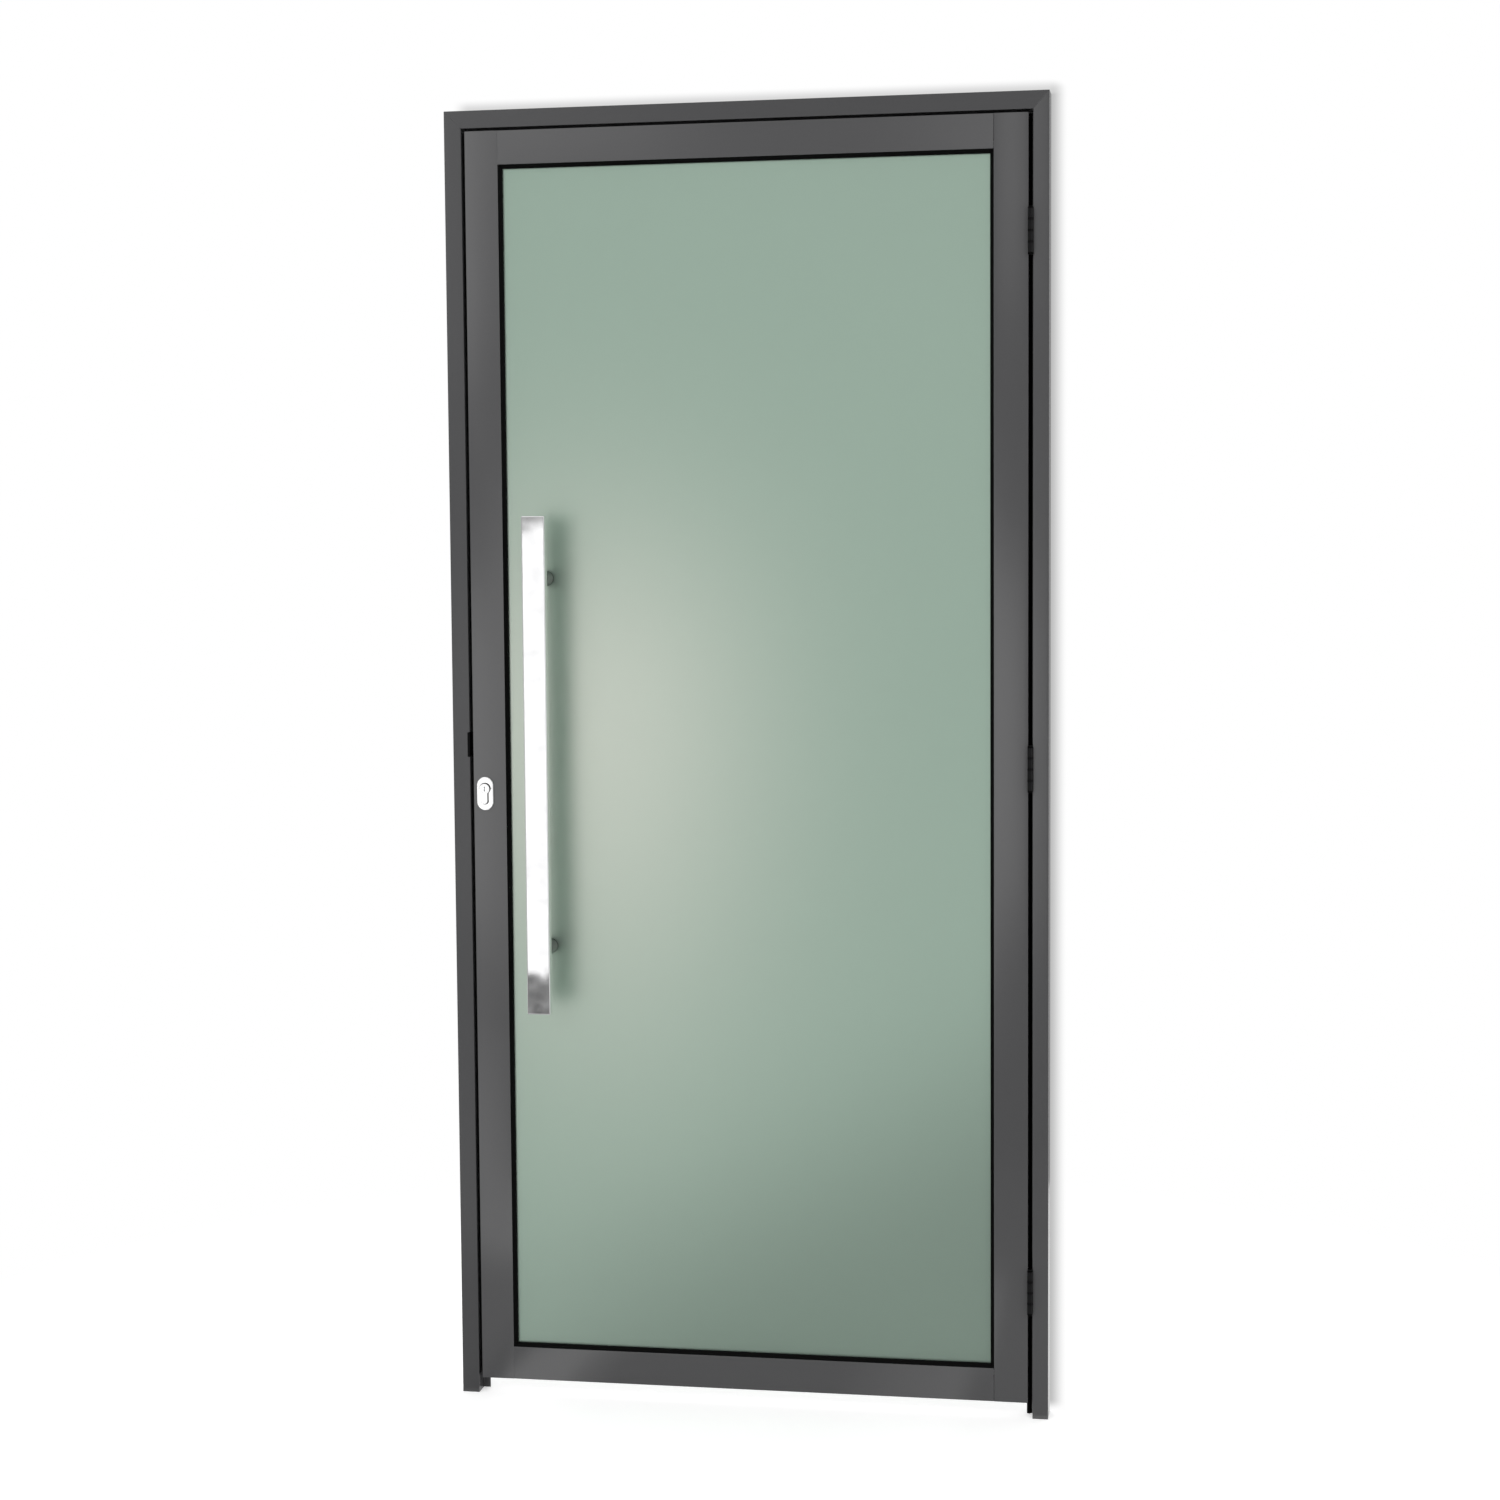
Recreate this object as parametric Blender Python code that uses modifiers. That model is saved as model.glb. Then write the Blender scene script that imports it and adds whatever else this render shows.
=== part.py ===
"""Aluminium swing door: a slim three-sided frame and a frosted glass leaf on three barrel hinges.

Metres, +X right and +Y away seen from the hinge side, +Z up. The origin is the middle of the
hinge jamb's flat outer face. Profiles are drawn as (across, deep) outlines: across runs from
the outer edge of a frame or leaf side towards the glass, deep runs from the front face back.
"""
import math

import bmesh
import bpy
from mathutils import Matrix, Vector

# Overall frame
FRAME_WIDTH = 0.970
FRAME_HEIGHT = 2.100
FRAME_DEPTH = 0.045
FRAME_FACE = 0.028
HINGE_FACE = 0.025
FRAME_WALL = 0.0018

# Stop rib behind the leaf and the seal that sits on it
STOP_WIDTH = 0.011
STOP_SETBACK = 0.030
STOP_THICKNESS = 0.003
SEAL_BASE_THICKNESS = 0.0012
SEAL_BASE_WIDTH = 0.008
SEAL_BULB_WIDTH = 0.006
SEAL_RELIEF = 0.0009

# Gaps round the closed leaf
LOCK_GAP = 0.006
HINGE_GAP = 0.0075
HEAD_GAP = 0.005
FOOT_GAP = 0.0255

# Leaf profile
LEAF_FACE = 0.054
LEAF_DEPTH = 0.025
LEAF_WALL = 0.0018
CHAMBER_WIDTH = 0.038
LIP_THICKNESS = 0.002
LIP_NOSE = 0.006

# Glass, its gaskets and the beads behind it
GLASS_THICKNESS = 0.006
GLASS_SETBACK = 0.010
GLASS_EDGE_ROOM = 0.003
GASKET_SIGHT = 0.006
GASKET_FRONT_SETBACK = 0.001
GASKET_GRIP = 0.004
BACK_GASKET_THICKNESS = 0.0025
BEAD_WALL = 0.0016

# Barrel hinges
HINGE_INSET = 0.182
BARREL_STANDOFF = 0.006
BARREL_RADIUS = 0.0042
PIN_RADIUS = 0.0023
PIN_CLEARANCE = 0.0003
KNUCKLE_COUNT = 4
KNUCKLE_LENGTH = 0.0168
KNUCKLE_GAP = 0.0008
WING_THICKNESS = 0.002
WING_DEPTH = 0.021
TIP_LENGTH = 0.0022
TIP_TAPER = 0.0008

# Lock
LOCK_HEIGHT = 1.000
LOCK_BACKSET = 0.0195
CASE_THICKNESS = 0.015
CASE_HEIGHT = 0.165
CASE_WIDTH = 0.033
CASE_RISE = 0.036
FACEPLATE_HEIGHT = 0.240
FACEPLATE_WIDTH = 0.018
FACEPLATE_THICKNESS = 0.003
BOLT_THICKNESS = 0.010
BOLT_REACH = 0.015
LATCH_RISE = 0.080
LATCH_HEIGHT = 0.022
LATCH_PROUD = 0.001
LATCH_BEVEL = 0.0012
DEAD_BOLT_DROP = 0.036
DEAD_BOLT_HEIGHT = 0.014

# Profile cylinder and its escutcheons
CYLINDER_HEAD_RADIUS = 0.0085
CYLINDER_LOBE_RADIUS = 0.005
CYLINDER_HEIGHT = 0.033
CYLINDER_PROUD = 0.004
KEY_SLOT_WIDTH = 0.0016
KEY_SLOT_HEIGHT = 0.008
KEY_SLOT_DEPTH = 0.008
ESCUTCHEON_WIDTH = 0.028
ESCUTCHEON_HEIGHT = 0.055
ESCUTCHEON_THICKNESS = 0.003
ESCUTCHEON_ROUND = 0.0008
ESCUTCHEON_ROOM = 0.0012

# Keeper in the lock jamb
KEEPER_HEIGHT = 0.040
KEEPER_NOTCH = 0.0035
KEEPER_REACH = 0.014
KEEPER_DEPTH = 0.022
KEEPER_WALL = 0.002

# Pull handles, one on each side of the glass
HANDLE_LENGTH = 0.800
HANDLE_HEIGHT = 1.050
HANDLE_INSET = 0.124
HANDLE_WIDTH = 0.038
HANDLE_THICKNESS = 0.015
HANDLE_ROUND = 0.0015
HANDLE_STANDOFF = 0.071
POST_SPACING = 0.600
POST_RADIUS = 0.012
STUD_RADIUS = 0.005
SOCKET_DEPTH = 0.014
WASHER_THICKNESS = 0.0015

# Shared clearances and facet counts
SEAT_GAP = 0.0003
CUT_OVERRUN = 0.002
MERGE_DISTANCE = 0.00001
ROUND_STEPS = 24
POST_STEPS = 32
CORNER_STEPS = 12
BULB_STEPS = 8
SMOOTH_ANGLE = math.radians(35)

# Places that follow from the sizes
LEFT = -FRAME_WIDTH
RIGHT = 0.0
FRONT = -FRAME_DEPTH / 2
FLOOR = -FRAME_HEIGHT / 2
TOP = FLOOR + FRAME_HEIGHT
LEAF_LEFT = LEFT + FRAME_FACE + LOCK_GAP
LEAF_RIGHT = RIGHT - HINGE_FACE - HINGE_GAP
LEAF_BOTTOM = FLOOR + FOOT_GAP
LEAF_TOP = TOP - FRAME_FACE - HEAD_GAP
LEAF_WIDTH = LEAF_RIGHT - LEAF_LEFT
LEAF_HEIGHT = LEAF_TOP - LEAF_BOTTOM
GLASS_BACK = GLASS_SETBACK + GLASS_THICKNESS
HINGE_X = RIGHT - HINGE_FACE - HINGE_GAP / 2
HINGE_Y = FRONT - BARREL_STANDOFF
LOCK_X = LEAF_LEFT + LOCK_BACKSET
LOCK_Z = FLOOR + LOCK_HEIGHT
LATCH_Z = LOCK_Z + LATCH_RISE
HANDLE_X = LEAF_LEFT + HANDLE_INSET
HANDLE_Z = FLOOR + HANDLE_HEIGHT
KNUCKLE_PITCH = KNUCKLE_LENGTH + KNUCKLE_GAP
BARREL_LENGTH = KNUCKLE_COUNT * KNUCKLE_PITCH - KNUCKLE_GAP
BORE_RADIUS = PIN_RADIUS + PIN_CLEARANCE
HINGES = {
    "bottom": LEAF_BOTTOM + HINGE_INSET,
    "middle": (LEAF_BOTTOM + LEAF_TOP) / 2,
    "top": LEAF_TOP - HINGE_INSET,
}

# Colour, roughness and metallic value of each finish
FINISHES = {
    "frame_paint": ((0.085, 0.085, 0.087), 0.45, 0.2),
    "leaf_paint": ((0.115, 0.115, 0.117), 0.40, 0.2),
    "black_rubber": ((0.010, 0.010, 0.010), 0.70, 0.0),
    "black_metal": ((0.030, 0.030, 0.032), 0.45, 0.3),
    "satin_glass": ((0.560, 0.660, 0.580), 0.50, 0.0),
    "chrome": ((0.800, 0.800, 0.810), 0.08, 1.0),
    "lock_steel": ((0.550, 0.550, 0.560), 0.30, 1.0),
}


def clear_scene():
    """Remove every object that the file starts with."""
    for old in list(bpy.data.objects):
        bpy.data.objects.remove(old, do_unlink=True)


def collection(name):
    """Return a new collection linked to the scene."""
    group = bpy.data.collections.new(name)
    bpy.context.scene.collection.children.link(group)
    return group


def empty(name, place):
    """Return an empty that carries the pieces of one body."""
    carrier = bpy.data.objects.new(name, None)
    carrier.location = place
    PARTS.objects.link(carrier)
    return carrier


def finish(piece, name):
    """Give a piece its own Principled material."""
    colour, roughness, metallic = FINISHES[name]
    material = bpy.data.materials.new(f"{piece.name}_{name}")
    material.use_nodes = True
    shader = material.node_tree.nodes["Principled BSDF"]
    shader.inputs["Base Color"].default_value = (*colour, 1.0)
    shader.inputs["Roughness"].default_value = roughness
    shader.inputs["Metallic"].default_value = metallic
    piece.data.materials.clear()
    piece.data.materials.append(material)


def piece_from(mesh, name, paint, carrier, place):
    """Add a mesh as a named piece on a carrier, with its own origin at the given world matrix."""
    piece = bpy.data.objects.new(name, mesh)
    PARTS.objects.link(piece)
    piece.parent = carrier
    piece.matrix_basis = Matrix.Translation(-carrier.location) @ place
    finish(piece, paint)
    return piece


def cutter_from(mesh, name, carrier, place):
    """Add a mesh as a cutter: shown as wire and never rendered."""
    cutter = bpy.data.objects.new(name, mesh)
    CUTTERS.objects.link(cutter)
    cutter.parent = carrier
    cutter.matrix_basis = Matrix.Translation(-carrier.location) @ place
    cutter.hide_render = True
    cutter.display_type = "WIRE"
    return cutter


def boolean(piece, cutter, operation="DIFFERENCE"):
    """Cut a piece with a cutter, or join the two."""
    modifier = piece.modifiers.new(cutter.name, "BOOLEAN")
    modifier.operation = operation
    modifier.solver = "EXACT"
    modifier.object = cutter


def at(x, y, z):
    """World matrix of a piece that isn't turned."""
    return Matrix.Translation((x, y, z))


def facing(x, y, z, axis):
    """World matrix of a flat outline that is drawn in XZ and extruded along +Y or -Y."""
    return Matrix.Translation((x, y, z)) @ Matrix.Rotation(math.radians(90) * -axis, 4, "X")


def arc(centre, radius, start, end, steps):
    """Points on an arc, both ends included; angles in radians."""
    turn = (end - start) / steps
    return [(centre[0] + radius * math.cos(start + turn * i), centre[1] + radius * math.sin(start + turn * i))
            for i in range(steps + 1)]


def circle(centre, radius, steps=ROUND_STEPS):
    """Points on a full circle."""
    return arc(centre, radius, 0.0, math.tau, steps)[:-1]


def outline_mesh(name, loops, thickness):
    """Fill flat loops, the later ones as holes, and extrude them along Z about the middle."""
    curve = bpy.data.curves.new(name, "CURVE")
    curve.dimensions = "2D"
    curve.fill_mode = "BOTH"
    curve.extrude = thickness / 2
    for loop in loops:
        spline = curve.splines.new("POLY")
        spline.points.add(len(loop) - 1)
        for point, (x, y) in zip(spline.points, loop):
            point.co = (x, y, 0.0, 1.0)
        spline.use_cyclic_u = True
    guide = bpy.data.objects.new(name, curve)
    bpy.context.scene.collection.objects.link(guide)
    depsgraph = bpy.context.evaluated_depsgraph_get()
    mesh = bpy.data.meshes.new_from_object(guide.evaluated_get(depsgraph))
    bpy.data.objects.remove(guide, do_unlink=True)
    body = bmesh.new()
    body.from_mesh(mesh)
    bmesh.ops.remove_doubles(body, verts=body.verts, dist=MERGE_DISTANCE)
    tidy(body, mesh)
    return mesh


def tidy(body, mesh):
    """Turn a bmesh's faces outwards, write it to its mesh and shade its round stretches smooth."""
    bmesh.ops.recalc_face_normals(body, faces=body.faces)
    body.to_mesh(mesh)
    body.free()
    mesh.shade_smooth()
    mesh.set_sharp_from_angle(angle=SMOOTH_ANGLE)


def box_mesh(name, low, high):
    """A box between two corners."""
    mesh = bpy.data.meshes.new(name)
    body = bmesh.new()
    size = [b - a for a, b in zip(low, high)]
    middle = [(a + b) / 2 for a, b in zip(low, high)]
    bmesh.ops.create_cube(body, size=1.0, matrix=Matrix.Translation(middle) @ Matrix.Diagonal((*size, 1.0)))
    tidy(body, mesh)
    return mesh


def turned_mesh(name, profile, steps):
    """Turn (radius, height) points, which start and end on the axis, about Z."""
    mesh = bpy.data.meshes.new(name)
    body = bmesh.new()
    points = [body.verts.new((radius, 0.0, height)) for radius, height in profile]
    edges = [body.edges.new(pair) for pair in zip(points, points[1:])]
    bmesh.ops.spin(body, geom=points + edges, cent=(0, 0, 0), axis=(0, 0, 1), angle=math.tau, steps=steps,
                   use_merge=True)
    bmesh.ops.remove_doubles(body, verts=body.verts, dist=MERGE_DISTANCE)
    tidy(body, mesh)
    return mesh


def side_matrix(side, left, right, bottom, top):
    """World matrix of one side of a rectangle: local X across, local Y deep, local Z along the side."""
    columns = {
        "left": ((1, 0, 0), (0, 0, 1), (left, FRONT, bottom)),
        "right": ((1, 0, 0), (0, 0, 1), (right, FRONT, bottom)),
        "top": ((0, 0, -1), (1, 0, 0), (left, FRONT, top)),
        "bottom": ((0, 0, 1), (-1, 0, 0), (right, FRONT, bottom)),
    }
    across, along, corner = columns[side]
    turn = Matrix((across, (0, 1, 0), along)).transposed().to_4x4()
    return Matrix.Translation(corner) @ turn


def bar_mesh(name, loops, length, start=(0.0, 0.0), end=(0.0, 0.0), mirrored=False):
    """Extrude a profile along a side; start and end give the cut back and the mitre slope of each end."""
    mesh = outline_mesh(name, loops, length)
    for vertex in mesh.vertices:
        across = vertex.co.x
        if vertex.co.z < 0:
            vertex.co.z = start[0] + start[1] * across
        else:
            vertex.co.z = length - end[0] - end[1] * across
        if mirrored:
            vertex.co.x = -across
    body = bmesh.new()
    body.from_mesh(mesh)
    tidy(body, mesh)
    return mesh


def ring_mesh(name, section, width, height):
    """Run a closed (across, deep) section round a rectangle, mitred at its four corners."""
    mesh = bpy.data.meshes.new(name)
    body = bmesh.new()
    corners = ((-1, -1), (1, -1), (1, 1), (-1, 1))
    rings = []
    for side_x, side_z in corners:
        rings.append([body.verts.new((side_x * (width / 2 - across), deep, side_z * (height / 2 - across)))
                      for across, deep in section])
    for here, there in zip(rings, rings[1:] + rings[:1]):
        for i in range(len(section)):
            j = (i + 1) % len(section)
            body.faces.new((here[i], here[j], there[j], there[i]))
    tidy(body, mesh)
    return mesh


def frame_profile(face):
    """Hollow frame section of a face width, with the stop rib behind the leaf."""
    rib_back = STOP_SETBACK + STOP_THICKNESS
    outer = [(0, 0), (face, 0), (face, STOP_SETBACK), (face + STOP_WIDTH, STOP_SETBACK),
             (face + STOP_WIDTH, rib_back), (face, rib_back), (face, FRAME_DEPTH), (0, FRAME_DEPTH)]
    return [outer, chamber(face, FRAME_DEPTH, FRAME_WALL)]


def chamber(width, depth, wall):
    """Inner loop of a rectangular hollow."""
    return [(wall, wall), (width - wall, wall), (width - wall, depth - wall), (wall, depth - wall)]


def seal_profile(face):
    """Flat base on the stop rib of a frame section, with a soft bulb towards the leaf."""
    tip = face + STOP_WIDTH - SEAT_GAP
    root = tip - SEAL_BASE_WIDTH
    base = STOP_SETBACK - SEAT_GAP
    shoulder = base - SEAL_BASE_THICKNESS
    crown = LEAF_DEPTH + SEAL_RELIEF
    middle = tip - SEAL_BULB_WIDTH / 2
    bulb = [(middle + SEAL_BULB_WIDTH / 2 * math.cos(math.pi * i / BULB_STEPS),
             shoulder - (shoulder - crown) * math.sin(math.pi * i / BULB_STEPS)) for i in range(BULB_STEPS + 1)]
    return [[(root, base), (tip, base), *bulb, (root, shoulder)]]


def leaf_profile():
    """Hollow leaf section with the front lip that holds the glass."""
    outer = [(0, 0), (LEAF_FACE, 0), (LEAF_FACE, LIP_NOSE), (LEAF_FACE - LIP_THICKNESS, LIP_NOSE),
             (LEAF_FACE - LIP_THICKNESS, LIP_THICKNESS), (CHAMBER_WIDTH, LIP_THICKNESS),
             (CHAMBER_WIDTH, LEAF_DEPTH), (0, LEAF_DEPTH)]
    return [outer, chamber(CHAMBER_WIDTH, LEAF_DEPTH, LEAF_WALL)]


def bead_profile():
    """Channel section that closes the glazing rebate from behind."""
    near = CHAMBER_WIDTH + SEAT_GAP
    front = GLASS_BACK + BACK_GASKET_THICKNESS
    return [[(near, front), (near + BEAD_WALL, front), (near + BEAD_WALL, LEAF_DEPTH - BEAD_WALL),
             (LEAF_FACE - BEAD_WALL, LEAF_DEPTH - BEAD_WALL), (LEAF_FACE - BEAD_WALL, front),
             (LEAF_FACE, front), (LEAF_FACE, LEAF_DEPTH), (near, LEAF_DEPTH)]]


def front_gasket_section():
    """Wedge that fills from the lip's nose to the glass and slopes in to the sight line."""
    glass = GLASS_SETBACK - SEAT_GAP
    nose = LIP_NOSE + SEAT_GAP
    edge = LEAF_FACE + SEAT_GAP
    sight = LEAF_FACE + GASKET_SIGHT
    slope_end = (nose + glass) / 2
    return [(LEAF_FACE - GASKET_GRIP, nose), (edge, nose), (edge, GASKET_FRONT_SETBACK),
            (sight, slope_end), (sight, glass), (LEAF_FACE - GASKET_GRIP, glass)]


def back_gasket_section():
    """Flat strip between the glass and the beads."""
    front = GLASS_BACK + SEAT_GAP
    back = GLASS_BACK + BACK_GASKET_THICKNESS - SEAT_GAP
    far = LEAF_FACE + GASKET_SIGHT
    return [(CHAMBER_WIDTH + GLASS_EDGE_ROOM, front), (far, front), (far, back), (CHAMBER_WIDTH + GLASS_EDGE_ROOM, back)]


def build_frame():
    """Two jambs and a head, mitred at the top corners, with a seal on each stop.

    Each mitre runs from the outer corner to the inner one, so its slope follows from the two faces.
    The lock side's seal ends level with the leaf's foot.
    """
    square = (0.0, 0.0)
    lock_mitre = (SEAT_GAP / 2, 1.0)
    hinge_mitre = (SEAT_GAP / 2, FRAME_FACE / HINGE_FACE)
    head_mitre = (SEAT_GAP / 2, HINGE_FACE / FRAME_FACE)
    sides = {
        "lock": ("left", FRAME_FACE, FRAME_HEIGHT, square, (FOOT_GAP, 0.0), lock_mitre),
        "hinge": ("right", HINGE_FACE, FRAME_HEIGHT, square, square, hinge_mitre),
        "head": ("top", FRAME_FACE, FRAME_WIDTH, lock_mitre, lock_mitre, head_mitre),
    }
    bars = {}
    for name, (side, face, length, start, seal_start, end) in sides.items():
        place = side_matrix(side, LEFT, RIGHT, FLOOR, TOP)
        node = "head" if name == "head" else f"{name}_jamb"
        mesh = bar_mesh(node, frame_profile(face), length, start, end, side == "right")
        bars[name] = piece_from(mesh, node, "frame_paint", FRAME, place)
        mesh = bar_mesh(f"{name}_seal", seal_profile(face), length, seal_start, end, side == "right")
        piece_from(mesh, f"{name}_seal", "black_rubber", FRAME, place)
    return bars


def build_keeper(jamb):
    """Keeper set in the lock jamb, its notch showing at the edge of the face."""
    edge = LEFT + FRAME_FACE
    half = KEEPER_HEIGHT / 2
    opening = box_mesh("keeper_opening",
                       (edge - KEEPER_NOTCH - SEAT_GAP, FRONT - CUT_OVERRUN, LATCH_Z - half - SEAT_GAP),
                       (edge + CUT_OVERRUN, FRONT + KEEPER_DEPTH + SEAT_GAP, LATCH_Z + half + SEAT_GAP))
    boolean(jamb, cutter_from(opening, "keeper_opening", FRAME, at(0, 0, 0)))
    behind = FRAME_WALL + SEAT_GAP
    outline = [(0, 0), (0, KEEPER_DEPTH), (-KEEPER_REACH, KEEPER_DEPTH), (-KEEPER_REACH, behind),
               (-KEEPER_NOTCH, behind), (-KEEPER_NOTCH, 0)]
    keeper = piece_from(outline_mesh("keeper", [outline], KEEPER_HEIGHT), "keeper", "black_metal", FRAME,
                        at(edge, FRONT, LATCH_Z))
    pocket = box_mesh("keeper_pocket", (KEEPER_WALL - KEEPER_REACH, behind + KEEPER_WALL, KEEPER_WALL - half),
                      (CUT_OVERRUN, KEEPER_DEPTH - KEEPER_WALL, half - KEEPER_WALL))
    boolean(keeper, cutter_from(pocket, "keeper_pocket", FRAME, at(edge, FRONT, LATCH_Z)))


def knuckle_middle(index):
    """Height of a knuckle's middle above the hinge's middle, counted from the top."""
    return (BARREL_LENGTH - KNUCKLE_LENGTH) / 2 - index * KNUCKLE_PITCH


def wing_outline(side):
    """Wing plate and barrel in one outline about the hinge axis; side is 1 on the jamb, -1 on the leaf."""
    outer = HINGE_GAP / 2 - SEAT_GAP
    inner = outer - WING_THICKNESS
    back = BARREL_STANDOFF + WING_DEPTH
    start = math.acos(inner / BARREL_RADIUS)
    end = math.acos(outer / BARREL_RADIUS) + math.tau
    points = arc((0, 0), BARREL_RADIUS, start, end, ROUND_STEPS) + [(outer, back), (inner, back)]
    return [[(side * x, y) for x, y in points], circle((0, 0), BORE_RADIUS)]


def build_hinge(name, height):
    """A barrel hinge: two wings with interleaved knuckles on one turned pin."""
    place = at(HINGE_X, HINGE_Y, height)
    for side, wing, carrier in ((-1, "leaf_wing", LEAF), (1, "frame_wing", FRAME)):
        node = f"{name}_hinge_{wing}"
        piece = piece_from(outline_mesh(node, wing_outline(side), BARREL_LENGTH), node, "black_metal", carrier, place)
        first = 1 if side < 0 else 0
        for index in range(first, KNUCKLE_COUNT, 2):
            slot = f"{node}_slot_{index}"
            half = KNUCKLE_LENGTH / 2 + KNUCKLE_GAP
            reach = BARREL_RADIUS + SEAT_GAP
            middle = knuckle_middle(index)
            mesh = box_mesh(slot, (-reach, -reach, middle - half), (reach, reach, middle + half))
            boolean(piece, cutter_from(mesh, slot, carrier, place))
    node = f"{name}_hinge_pin"
    shoulder = BARREL_LENGTH / 2 + SEAT_GAP
    tip = shoulder + TIP_LENGTH
    half_profile = [(BARREL_RADIUS - TIP_TAPER, tip), (BARREL_RADIUS, shoulder), (PIN_RADIUS, shoulder)]
    profile = [(0, tip), *half_profile, *[(radius, -z) for radius, z in reversed(half_profile)], (0, -tip)]
    piece_from(turned_mesh(node, profile, ROUND_STEPS), node, "black_metal", FRAME, place)


def build_leaf_bars():
    """Full-height stiles, and rails coped over the stiles' lips."""
    sides = {
        "lock_stile": ("left", LEAF_HEIGHT, 0.0, False),
        "hinge_stile": ("right", LEAF_HEIGHT, 0.0, True),
        "top_rail": ("top", LEAF_WIDTH, CHAMBER_WIDTH + SEAT_GAP, False),
        "bottom_rail": ("bottom", LEAF_WIDTH, CHAMBER_WIDTH + SEAT_GAP, False),
    }
    bars = {}
    for name, (side, length, cut_back, mirrored) in sides.items():
        place = side_matrix(side, LEAF_LEFT, LEAF_RIGHT, LEAF_BOTTOM, LEAF_TOP)
        mesh = bar_mesh(name, leaf_profile(), length, (cut_back, 0.0), (cut_back, 0.0), mirrored)
        bars[name] = piece_from(mesh, name, "leaf_paint", LEAF, place)
        if cut_back:
            cope_rail(bars[name], place)
    return bars


def cope_rail(rail, place):
    """Cut each end of a rail back in front, where the stile's lip passes."""
    reach = LEAF_FACE + SEAT_GAP
    for end, start in (("near", -CUT_OVERRUN), ("far", LEAF_WIDTH - reach)):
        name = f"{rail.name}_{end}_cope"
        low = (-CUT_OVERRUN, -CUT_OVERRUN, start)
        high = (LEAF_FACE + CUT_OVERRUN, LIP_NOSE + SEAT_GAP, start + reach + CUT_OVERRUN)
        boolean(rail, cutter_from(box_mesh(name, low, high), name, LEAF, place))


def build_glazing():
    """Glass pane, gaskets on both sides of it and the four beads behind."""
    middle = at((LEAF_LEFT + LEAF_RIGHT) / 2, FRONT, (LEAF_BOTTOM + LEAF_TOP) / 2)
    inset = CHAMBER_WIDTH + GLASS_EDGE_ROOM
    half_width = LEAF_WIDTH / 2 - inset
    half_height = LEAF_HEIGHT / 2 - inset
    glass = piece_from(box_mesh("glass", (-half_width, GLASS_SETBACK, -half_height), (half_width, GLASS_BACK, half_height)),
                       "glass", "satin_glass", LEAF, middle)
    for name, section in (("front_gasket", front_gasket_section()), ("back_gasket", back_gasket_section())):
        piece_from(ring_mesh(name, section, LEAF_WIDTH, LEAF_HEIGHT), name, "black_rubber", LEAF, middle)
    mitre = (SEAT_GAP / 2, 1.0)
    for name, side, length in (("lock_bead", "left", LEAF_HEIGHT), ("hinge_bead", "right", LEAF_HEIGHT),
                               ("top_bead", "top", LEAF_WIDTH), ("bottom_bead", "bottom", LEAF_WIDTH)):
        place = side_matrix(side, LEAF_LEFT, LEAF_RIGHT, LEAF_BOTTOM, LEAF_TOP)
        mesh = bar_mesh(name, bead_profile(), length, mitre, mitre, side == "right")
        piece_from(mesh, name, "leaf_paint", LEAF, place)
    return glass


def cylinder_outline(room=0.0):
    """Round head over a narrow lobe, centred on the middle of its height; room widens it all round."""
    head = CYLINDER_HEAD_RADIUS + room
    lobe = CYLINDER_LOBE_RADIUS + room
    head_middle = CYLINDER_HEIGHT / 2 - CYLINDER_HEAD_RADIUS
    lobe_middle = CYLINDER_LOBE_RADIUS - CYLINDER_HEIGHT / 2
    neck = math.asin(lobe / head)
    top = arc((0, head_middle), head, neck - math.pi / 2, 1.5 * math.pi - neck, ROUND_STEPS)
    bottom = arc((0, lobe_middle), lobe, math.pi, math.tau, CORNER_STEPS)
    return top + bottom


def escutcheon_outline():
    """Upright oval with straight sides."""
    radius = ESCUTCHEON_WIDTH / 2
    rise = ESCUTCHEON_HEIGHT / 2 - radius
    return arc((0, rise), radius, 0, math.pi, ROUND_STEPS) + arc((0, -rise), radius, math.pi, math.tau, ROUND_STEPS)


def through(name, outline, front, back):
    """Cutter that runs an outline from one depth to another at the lock's place."""
    mesh = outline_mesh(name, [outline], back - front)
    return cutter_from(mesh, name, LEAF, facing(LOCK_X, (front + back) / 2, LOCK_Z, -1))


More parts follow.
